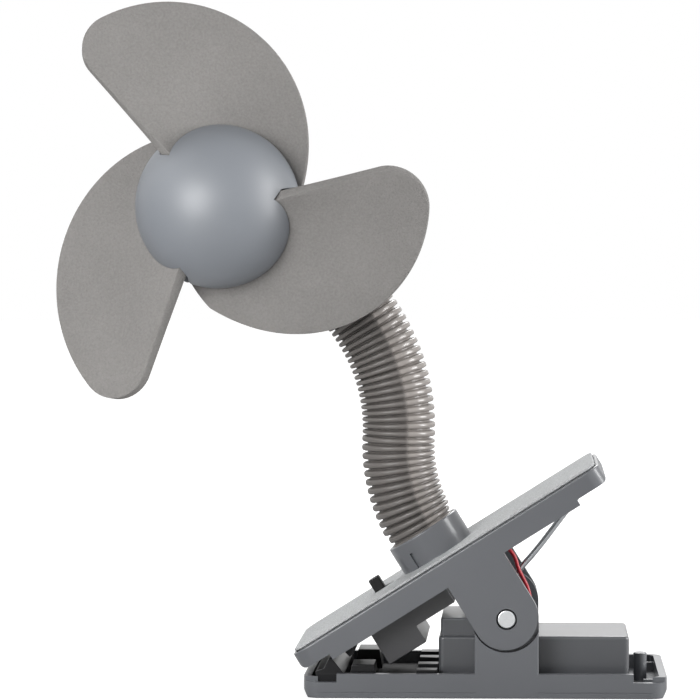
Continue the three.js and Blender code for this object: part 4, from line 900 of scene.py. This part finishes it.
base = {
    "halfLength": 53.9, "halfWidth": 25.5, "corner": 5.0, "wall": 2.3, "floor": 2.0, "side": 7.2, "end": 6.2,
    "endLength": 10.0, "foot": 0.3, "edge": 0.3, "seamZ": 1.75, "seam": 0.12, "seamDeep": 0.15,
    "heelLong": 1.4, "heelTall": 2.4, "notchTop": 4.7, "cornerRound": 0.6,
    "uprightInner": 22.1, "earInner": 19.0, "earRadius": 9.5, "seatRadius": 10.5, "seatZ": 24.1, "pinHole": 2.8,
    "webHalf": 1.0, "web": (-21.1, -14.95), "webLow": 1.5, "webTop": 14.2,
    "recess": ((-13.7, -15.65, -1), (50.2, 15.65, 1.2)), "recessCorner": 1.5,
    "bay": ((-12.4, -14.35, -1), (41.3, 14.35, 15.6)), "pocket": ((-11.8, -12.8, 15.5), (-3.6, 12.8, 20.8)),
    "postX": 46.7, "postRadius": 2.0, "postTop": 10.3, "postEdge": 0.3, "hole": 0.9, "holeTop": 8.3,
    "endRibs": (-17.5, 17.5), "ribFrom": 47.0, "ribHalf": 0.5, "ribLow": 1.5, "ribTop": 4.8, "ribEdge": 0.12,
    "leadX": 13.4, "leadY": {"red": -10.6, "black": -9.0},
}
housing = {
    # the housing below the raised block's top is darkened to a share of its colour: painted shade
    "left": -14.0, "right": 42.9, "half": 15.95, "low": 1.3, "top": 17.2, "corner": 1.6, "edge": 0.95, "paintedLightTint": 0.66,
    "blockLeft": -13.4, "blockRight": -2.0, "blockHalf": 14.45, "blockLow": 15.9, "blockTop": 22.4,
    "blockCorner": 1.0, "blockEdge": 0.6,
}


def addTray():
    x, y, wall = base["halfLength"], base["halfWidth"], base["wall"]
    tray = addSlab("clipBase", (-x, -y, 0), (x, y, base["side"]), base["corner"], 0, base["foot"], 10)
    carve(tray, addSlab("inside", (-x + wall, -y + wall, base["floor"]), (x - wall, y - wall, 20),
                        base["corner"] - wall))
    long, tall, z, seam = base["heelLong"], base["heelTall"], base["seamZ"], base["seam"]
    for side in (-1, 1):  # the ends rise a little off the table
        corner = [(side * (x - long), -1), (side * (x - long), 0), (side * x, tall), (side * (x + 1), tall),
                  (side * (x + 1), -1)]
        carve(tray, addOutline("heel", corner, -30, 30))
    for side in (-1, 1):
        low, high = sorted((side * y - side * base["seamDeep"], side * y + side))
        carve(tray, addBlock("seam", (-x - 1, low, z - seam), (x + 1, high, z + seam)))
    for left, right in ((-x - 1, -x + base["endLength"]), (x - base["endLength"], x + 1)):
        carve(tray, addBlock("endStep", (left, -30, base["end"]), (right, 30, 20)))
        carve(tray, addBlock("nearNotch", (left, -30, base["notchTop"]), (right, -y + wall + 0.1, 20)))
    return tray


def addUpright():
    x, radius, outer = hinge["x"], base["earRadius"], -base["halfWidth"]
    piece = addBlock("upright", (x - radius, outer, 1), (x + radius, -base["uprightInner"], hinge["z"]))
    roundEdges(piece, lambda a, b: upright(a, b) and same(a.y, outer), base["cornerRound"], 4)
    return carve(piece, addRod("seat", base["seatRadius"], -30, -18, "y", (x, base["seatZ"]), 96))


def addBaseEar():
    x, z, radius = hinge["x"], hinge["z"], base["earRadius"]
    outline = [(x - radius, 1), (x + radius, 1)] + arc(x, z, radius, 0, 180, 48)
    return addOutline("baseEar", outline, -base["uprightInner"], -base["earInner"])


def addCellHousing():
    left, right, half = housing["left"], housing["right"], housing["half"]
    house = addSlab("cellHousing", (left, -half, housing["low"]), (right, half, housing["top"]),
                    housing["corner"], housing["edge"], 0, 5)
    half, blockTop = housing["blockHalf"], housing["blockTop"]
    block = addSlab("raisedBlock", (housing["blockLeft"], -half, housing["blockLow"]),
                    (housing["blockRight"], half, blockTop), housing["blockCorner"], housing["blockEdge"], 0, 4)
    carve(house, block, how="UNION")
    carve(house, addBlock("bay", *base["bay"]), addBlock("pocket", *base["pocket"]))
    for y in base["leadY"].values():
        carve(house, addRod("leadHole", base["hole"], 15, 20, "z", (base["leadX"], y), 16))
    # marks the housing below the raised block's top for painted shade
    markPoints(house, "paintedShade", lambda at: 1.0 if at.z < blockTop - 0.5 else 0.0)
    return house


def addBase():
    x, z, postX, hole, holeTop = hinge["x"], hinge["z"], base["postX"], base["hole"], base["holeTop"]
    tray = addTray()
    carve(tray, addSlab("doorRecess", *base["recess"], base["recessCorner"]), addBlock("bay", *base["bay"]),
          addRod("screwHole", hole, -1, holeTop, "z", (postX, 0), 24))
    carve(tray, twin(addUpright()), twin(addBaseEar()), how="UNION")
    carve(tray, addRod("pinHole", base["pinHole"], -30, 30, "y", (x, z)))
    soften(tray, base["edge"], 2, 50)
    half, (near, far) = base["webHalf"], base["web"]
    web = twin(addBlock("web", (x - half, near, base["webLow"]), (x + half, far, base["webTop"])))
    house = addCellHousing()
    post = addRod("post", base["postRadius"], housing["low"], base["postTop"], "z", (postX, 0), 32)
    roundEdges(post, level(base["postTop"]), base["postEdge"], 2)
    carve(post, addRod("screwHole", hole, 0, holeTop, "z", (postX, 0), 24))
    ribs, half = [], base["ribHalf"]
    for y in base["endRibs"]:
        rib = addBlock("endRib", (base["ribFrom"], y - half, base["ribLow"]),
                       (base["halfLength"] - 2, y + half, base["ribTop"]))
        ribs.append(soften(rib, base["ribEdge"]))
    return fuse(tray, web, house, post, *ribs)


baseTray = settle(addBase(), "base", "grey_plastic", ["base_tray"])
baseTray.data.materials[0] = mouldedMaterial("clipBase", looks["grey_plastic"])
# painted shade: the marked housing is darkened
tintMarked(baseTray.data.materials[0], "paintedShade", housing["paintedLightTint"])
print("base is made")


pads = {
    "low": 2.3, "plate": 1.4, "left": -50.9, "right": -14.3, "reach": 22.9, "corner": 2.7, "edge": 0.18,
    "tooth": [(0.6, 2.3), (0.6, 7.6), (3.0, 8.4), (4.5, 11.2), (5.5, 11.2), (9.1, 6.8), (9.7, 2.3)], "toothIn": 0.4,
    "block": [(9.9, 2.3), (11.3, 9.4), (17.9, 9.4), (18.9, 2.3)], "blockInner": 10.5, "blockOuter": 21.5,
    "ledgeLength": 6.2, "ledgeHalf": 2.4, "ledgeRows": (-19.5, -7.0, 7.0, 19.5), "ledgeTop": 7.9,
    "glossFrom": 6.5, "glossTo": 6.9, "glossRough": 0.3,
}


def addLowerPad():
    left, right, reach, low = pads["left"], pads["right"], pads["reach"], pads["low"]
    plate = addSlab("lowerGrip", (left, -reach, low), (right, reach, low + pads["plate"]), pads["corner"])
    tooth, block = [[(left + x, z) for x, z in pads[key]] for key in ("tooth", "block")]
    shapes = [addOutline("tooth", tooth, -reach + pads["toothIn"], reach - pads["toothIn"])]
    for near, far in ((-pads["blockOuter"], -pads["blockInner"]), (pads["blockInner"], pads["blockOuter"])):
        shapes.append(addOutline("block", block, near, far))
    for y in pads["ledgeRows"]:
        shapes.append(addBlock("ledge", (right - pads["ledgeLength"], y - pads["ledgeHalf"], low),
                               (right, y + pads["ledgeHalf"], pads["ledgeTop"])))
    for shape in (plate, *shapes):
        soften(shape, pads["edge"], 2, 30)
    return fuse(plate, *shapes)


def addLowerPadMaterial():  # worn shiny where it stands high
    material = mouldedMaterial("lowerGrip", looks["black_grip"])
    tree = material.node_tree
    place = addNode(tree, "TexCoord")
    parts = addNode(tree, "SeparateXYZ", {0: place.outputs["Object"]})
    rough = addNode(tree, "MapRange", {
        "Value": parts.outputs["Z"], "From Min": pads["glossFrom"] * mm, "From Max": pads["glossTo"] * mm,
        "To Min": looks["black_grip"]["rough"], "To Max": pads["glossRough"],
    })
    tree.links.new(rough.outputs["Result"], tree.nodes["Principled BSDF"].inputs["Roughness"])
    return material


lowerPad = settle(addLowerPad(), "base", "black_grip", ["lower_grip_pad"])
lowerPad.data.materials[0] = addLowerPadMaterial()

upperPad = {
    "left": -57.0, "length": 18.0, "reach": 22.9, "top": 22.4, "bottom": 18.6, "fine": 1.0, "fineStart": 0.8,
    "finePitch": 3.1, "fineCount": 3, "tooth": [(10.4, 0), (11.4, -4.6), (12.8, -4.6), (14.6, 0)], "edge": 0.15,
}


def addUpperPad():
    left, face = upperPad["left"], upperPad["bottom"] + upperPad["fine"]
    outline = [(left, upperPad["top"]), (left, face)]
    for i in range(upperPad["fineCount"]):
        u = left + upperPad["fineStart"] + i * upperPad["finePitch"]
        outline += [(u, face), (u + upperPad["finePitch"] / 2, upperPad["bottom"])]
    outline += [(left + u, face + drop) for u, drop in upperPad["tooth"]]
    right = left + upperPad["length"]
    outline += [(right, face), (right, upperPad["top"])]
    reach = upperPad["reach"]
    pad = addOutline("upperGrip", outline, -reach, reach)
    carve(pad, addSlab("plan", (left, -reach, 10), (right, reach, 30), pads["corner"]), how="INTERSECT")
    return soften(pad, upperPad["edge"], 2, 30)


settle(addUpperPad(), "lever", "black_grip", ["upper_grip_pad"], leverPlace)

cover = {
    "left": -37.5, "step": -24.5, "right": -11.0, "deep": 6.1, "shallow": 11.7, "half": 17.0, "top": 22.4,
    "wall": 1.5, "edge": 0.3, "leadNotch": ((-13.5, -11.8, 18.5), (-10, -7.8, 24)),
    "screwU": -15.0, "screwRows": {"rear": 13.4, "front": -13.4}, "screwSeat": 12.75, "headRoom": 2.1,
}


def coverOutline(wall, top):
    left, step, right = cover["left"] + wall, cover["step"] - wall, cover["right"] - wall
    deep, shallow = cover["deep"] + wall, cover["shallow"] + wall
    return [(left, deep), (step, deep), (step, shallow), (right, shallow), (right, top), (left, top)]


def addInnerCover():
    half, wall, u = cover["half"], cover["wall"], cover["screwU"]
    shell = addOutline("innerCover", coverOutline(0, cover["top"]), -half, half)
    carve(shell, addOutline("inside", coverOutline(wall, cover["top"] + 1), -half + wall, half - wall))
    carve(shell, addBlock("leadNotch", *cover["leadNotch"]))
    for y in cover["screwRows"].values():
        carve(shell, addRod("screwHole", base["hole"], 10, 14, "z", (u, y), 24),
              addRod("headRoom", cover["headRoom"], 11, cover["screwSeat"], "z", (u, y), 32))
    return soften(shell, cover["edge"], 3, 50)


settle(addInnerCover(), "lever", "dark_plastic", ["lever_inner_cover"], leverPlace)

screw = {
    "head": 1.9, "headEdge": 0.25, "headThick": 0.9, "shank": 0.8, "thread": 0.15, "threadPitch": 0.5,
    "slotHalf": 1.3, "slotWidth": 0.25, "slotDepth": 0.4, "coverLength": 9.2, "housingLength": 13.1,
    "doorHead": 0.5, "doorLength": 7.2, "doorSunk": 0.1,
}


def addScrew(name, thick, length):  # head down at z 0, shank up
    edge, shank, pitch = screw["headEdge"], screw["shank"], screw["threadPitch"]
    points = [(0, 0), (screw["head"] - edge, 0)] + arc(screw["head"] - edge, edge, edge, 270, 360, 3)
    points += [(screw["head"], thick), (shank, thick)]
    for i in range(int((length - thick - 0.6) / pitch)):
        z = thick + 0.2 + i * pitch
        points += [(shank - screw["thread"], z), (shank, z + pitch / 2)]
    points += [(shank - 0.2, length - 0.3), (0, length)]
    piece = lathe(name, points, 32)
    piece.data.transform(Matrix.Rotation(math.pi / 2, 4, "X"))
    half, width, depth = screw["slotHalf"], screw["slotWidth"], min(screw["slotDepth"], thick * 0.5)
    return carve(piece, addBlock("slot", (-half, -width, -1), (half, width, depth)),
                 addBlock("slot", (-width, -half, -1), (width, half, depth)))


for end, y in cover["screwRows"].items():
    piece = addScrew(f"coverScrew.{end}", screw["headThick"], screw["coverLength"])
    place = leverPlace @ Matrix.Translation((cover["screwU"], y, cover["screwSeat"] - screw["headThick"]))
    settle(piece, "lever", "zinc_steel", [f"cover_screw_{end}"], place)
doorScrew = addScrew("doorScrew", screw["doorHead"], screw["doorLength"])
place = Matrix.Translation((base["postX"], 0, screw["doorSunk"]))
settle(doorScrew, "battery_door", "zinc_steel", ["door_screw"], place)

door = {
    "left": -13.4, "right": 49.9, "half": 15.35, "thick": 1.1, "corner": 1.2, "topEdge": 0.15, "footEdge": 0.3,
    "headRoom": 2.0, "headDeep": 0.7,
    "grips": 5, "gripX": 37.5, "gripPitch": 1.4, "gripHalf": 0.35, "gripLong": 7.0, "gripDeep": 0.3,
}


def addDoor():
    piece = addSlab("batteryDoor", (door["left"], -door["half"], 0), (door["right"], door["half"], door["thick"]),
                    door["corner"], door["topEdge"], door["footEdge"], 6)
    carve(piece, addRod("headRoom", door["headRoom"], -1, door["headDeep"], "z", (base["postX"], 0), 32),
          addRod("screwHole", base["hole"], -1, 3, "z", (base["postX"], 0), 24))
    long, half = door["gripLong"], door["gripHalf"]
    for i in range(door["grips"]):
        x = door["gripX"] - i * door["gripPitch"]
        carve(piece, addBlock("grip", (x - half, -long, -1), (x + half, long, door["gripDeep"])))
    return piece


settle(addDoor(), "battery_door", "grey_plastic", ["battery_door"])

pin = {"radius": 2.7, "end": 25.1, "edge": 0.35, "stake": 0.3, "stakeHalf": 0.8, "stakeWidth": 0.15}


def addPin():
    x, z, end, deep = hinge["x"], hinge["z"], pin["end"], pin["stake"]
    piece = addRod("hingePin", pin["radius"], -end, end, "y", (x, z), 64)
    roundEdges(piece, lambda a, b: same(a.y, b.y) and same(abs(a.y), end), pin["edge"], 3)
    long, thin = pin["stakeHalf"], pin["stakeWidth"]
    for face in (-end, end):
        for halfX, halfZ in ((long, thin), (thin, long)):
            carve(piece, addBlock("stake", (x - halfX, face - deep, z - halfZ),
                                  (x + halfX, face + deep, z + halfZ)))
    return piece


settle(addPin(), "base", "zinc_steel", ["hinge_pin"])
print("pads, cover, screws, door and pin are made")


def addWire(name, radius, points, rings):  # a round wire through points in millimetres
    bpy.ops.curve.primitive_nurbs_path_add(location=(0, 0, 0))
    curve = bpy.context.object.data
    curve.splines.clear()
    line = curve.splines.new("BEZIER")
    line.bezier_points.add(len(points) - 1)
    for knot, point in zip(line.bezier_points, points):
        knot.co = point
        knot.handle_left_type = knot.handle_right_type = "AUTO"
    curve.dimensions = "3D"
    curve.resolution_u = rings
    curve.bevel_depth = radius
    curve.bevel_resolution = 4
    curve.use_fill_caps = True
    bpy.ops.object.convert(target="MESH")
    return faceOutward(named(name), samePlace)


spring = {
    "wire": 0.9, "coil": 4.1, "turns": 5, "pitch": 2.35, "legU": 41.4, "legV": 20.2, "foot": 7.0, "footGap": 0.3,
    "blendFrom": 0.16, "rings": 6,
}


def springPoints():
    x, z, coil = hinge["x"], hinge["z"], spring["coil"]
    end = leverPoint(spring["legU"], 0, spring["legV"])
    reach = math.hypot(end.x - x, end.z - z)
    start = math.atan2(end.z - z, end.x - x) + math.acos(coil / reach)
    sweep = 2 * math.pi * spring["turns"] + (start + math.pi / 2) % (2 * math.pi)
    half = spring["pitch"] * sweep / (4 * math.pi)
    count = round(sweep / (math.pi / 8))
    coilPoints = []
    for i in range(count + 1):
        share = i / count
        angle = start - sweep * share
        coilPoints.append((x + coil * math.cos(angle), -half + 2 * half * share, z + coil * math.sin(angle)))
    leg = (end.x, -half, end.z)
    legMiddle = tuple((a + b) / 2 for a, b in zip(leg, coilPoints[0]))
    footZ = housing["top"] + spring["wire"] + spring["footGap"]
    lastX, lastY, lastZ = coilPoints[-1]
    foot = (lastX - spring["foot"], lastY, footZ)
    footMiddle = ((lastX * 2 - spring["foot"]) / 2, lastY, (lastZ + footZ) / 2)
    return [leg, legMiddle, *coilPoints, footMiddle, foot]


coilSpring = addWire("clipSpring", spring["wire"], springPoints(), spring["rings"])
settle(coilSpring, None, "spring_wire", ["torsion_spring"], None, 60, False)
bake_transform(coilSpring)

leads = {
    "radius": 0.6, "rings": 8, "crossU": 6.5, "crossV": 19.6, "bendU": 10.0, "bendTop": 17.3, "bendLow": 9.6,
    "bulgeU": 10.9, "bulgeV": 14.0, "fall": [(-0.4, 29.5), (0.0, 23.5)], "footZ": 18.8, "low": 15.9,
    "red": [(-24.1, -6.6, 20.0), (-19.6, -9.6, 20.0), (-14.0, -10.6, 20.3), (-5.0, -10.6, 20.6)],
    "black": [(-10.1, -6.0, 21.6), (-5.1, -8.0, 21.0)],
}


def overHinge(y):  # from the lever's underside down into the housing
    bends = [("crossU", "crossV"), ("bendU", "bendTop"), ("bulgeU", "bulgeV"), ("bendU", "bendLow")]
    points = [leverPoint(leads[u], y, leads[v]) for u, v in bends]
    fall = [*leads["fall"], (0.0, leads["footZ"]), (0.0, leads["low"])]
    return points + [Vector((base["leadX"] + x, y, z)) for x, z in fall]


for name, y in base["leadY"].items():
    points = [leverPoint(*point) for point in leads[name]] + overHinge(y)
    lead = addWire(f"supplyLead.{name}", leads["radius"], points, leads["rings"])
    settle(lead, None, f"{name}_pvc", [f"supply_lead_{name}"], None, 60, False)
    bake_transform(lead)
print("spring and leads are wound")


motorHousing = {
    "radius": 19.0, "front": 13.2, "back": 41.0, "rounding": 8.0, "shell": 1.7, "frontEdge": 0.35, "edge": 0.15,
    "seam": 0.18, "seamDepth": 16.5, "wireWay": 7.0, "wireWayDeep": 17.0, "neckIn": 5.0,
    "collarRadius": 11.9, "collarBore": 11.15, "collarDeep": 5.3, "collarLength": 15.5, "collarEdge": 0.6,
    "screwRows": (14.6, -14.6), "screwHead": 40.1, "screwSeat": 39.1, "screwRoom": 2.0,
    "vents": 5, "ventHalf": 0.55, "ventPitch": 2.6, "ventReach": 5.0, "ventDeep": 3.0,
}
collarFace = neckAt(neckLength - motorHousing["neckIn"])


def addCollarRod(name, radius, start, end):  # runs from the collar's face to the housing's axis
    piece = addRod(name, radius, start, end, "z", (0, 0), 72)
    x, z, heading = collarFace
    place = Matrix.Translation((x, 0, z)) @ Matrix.Rotation(math.radians(90 - heading), 4, "Y")
    piece.data.transform(headPlace.inverted() @ place)
    return piece


def addHousing():
    radius, front, back = motorHousing["radius"], motorHousing["front"], motorHousing["back"]
    rounding, shell, frontEdge = motorHousing["rounding"], motorHousing["shell"], motorHousing["frontEdge"]
    seam, at = motorHousing["seam"], motorHousing["seamDepth"]
    points = [(radius - frontEdge, front), (radius, front + frontEdge), (radius, at - seam), (radius - seam, at),
              (radius, at + seam)]
    points += arc(radius - rounding, back - rounding, rounding, 0, 90, 16)
    points += [(0, back), (0, back - shell)]
    points += arc(radius - rounding, back - rounding, rounding - shell, 90, 0, 10) + [(radius - shell, front)]
    cup = lathe("motorHousing", points, 96)
    collar = addCollarRod("collar", motorHousing["collarRadius"], 0, motorHousing["collarLength"])
    soften(collar, motorHousing["collarEdge"], 3, 60)
    inner = arc(radius - rounding, back - rounding, rounding - shell, 0, 90, 10)
    carve(collar, lathe("cavity", [(0, front - 1), (radius - shell, front - 1)] + inner + [(0, back - shell)], 96))
    carve(cup, collar, how="UNION")
    carve(cup, addCollarRod("collarBore", motorHousing["collarBore"], -1, motorHousing["collarDeep"]),
          addCollarRod("wireWay", motorHousing["wireWay"], 0, motorHousing["wireWayDeep"]))
    room, seat = motorHousing["screwRoom"], motorHousing["screwSeat"]
    for z in motorHousing["screwRows"]:
        carve(cup, addRod("screwRoom", room, seat, back + 1, "y", (0, z), 32))
    half, reach, deep = motorHousing["ventHalf"], motorHousing["ventReach"], motorHousing["ventDeep"]
    for i in range(motorHousing["vents"]):
        x = (i - (motorHousing["vents"] - 1) / 2) * motorHousing["ventPitch"]
        carve(cup, addBlock("vent", (x - half, back - deep, -reach), (x + half, back + 1, reach)))
    return soften(cup, motorHousing["edge"], 2, 50)


settle(addHousing(), "head", "grey_plastic", ["motor_housing_rear"], headPlace)
for i, z in enumerate(motorHousing["screwRows"]):
    piece = addScrew(f"housingScrew{i + 1}", screw["headThick"], screw["housingLength"])
    place = headPlace @ Matrix.Translation((0, motorHousing["screwHead"], z)) @ Matrix.Rotation(math.pi / 2, 4, "X")
    settle(piece, "head", "zinc_steel", [f"housing_screw_{i + 1}"], place)
print("motor housing is made")


low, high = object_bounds()
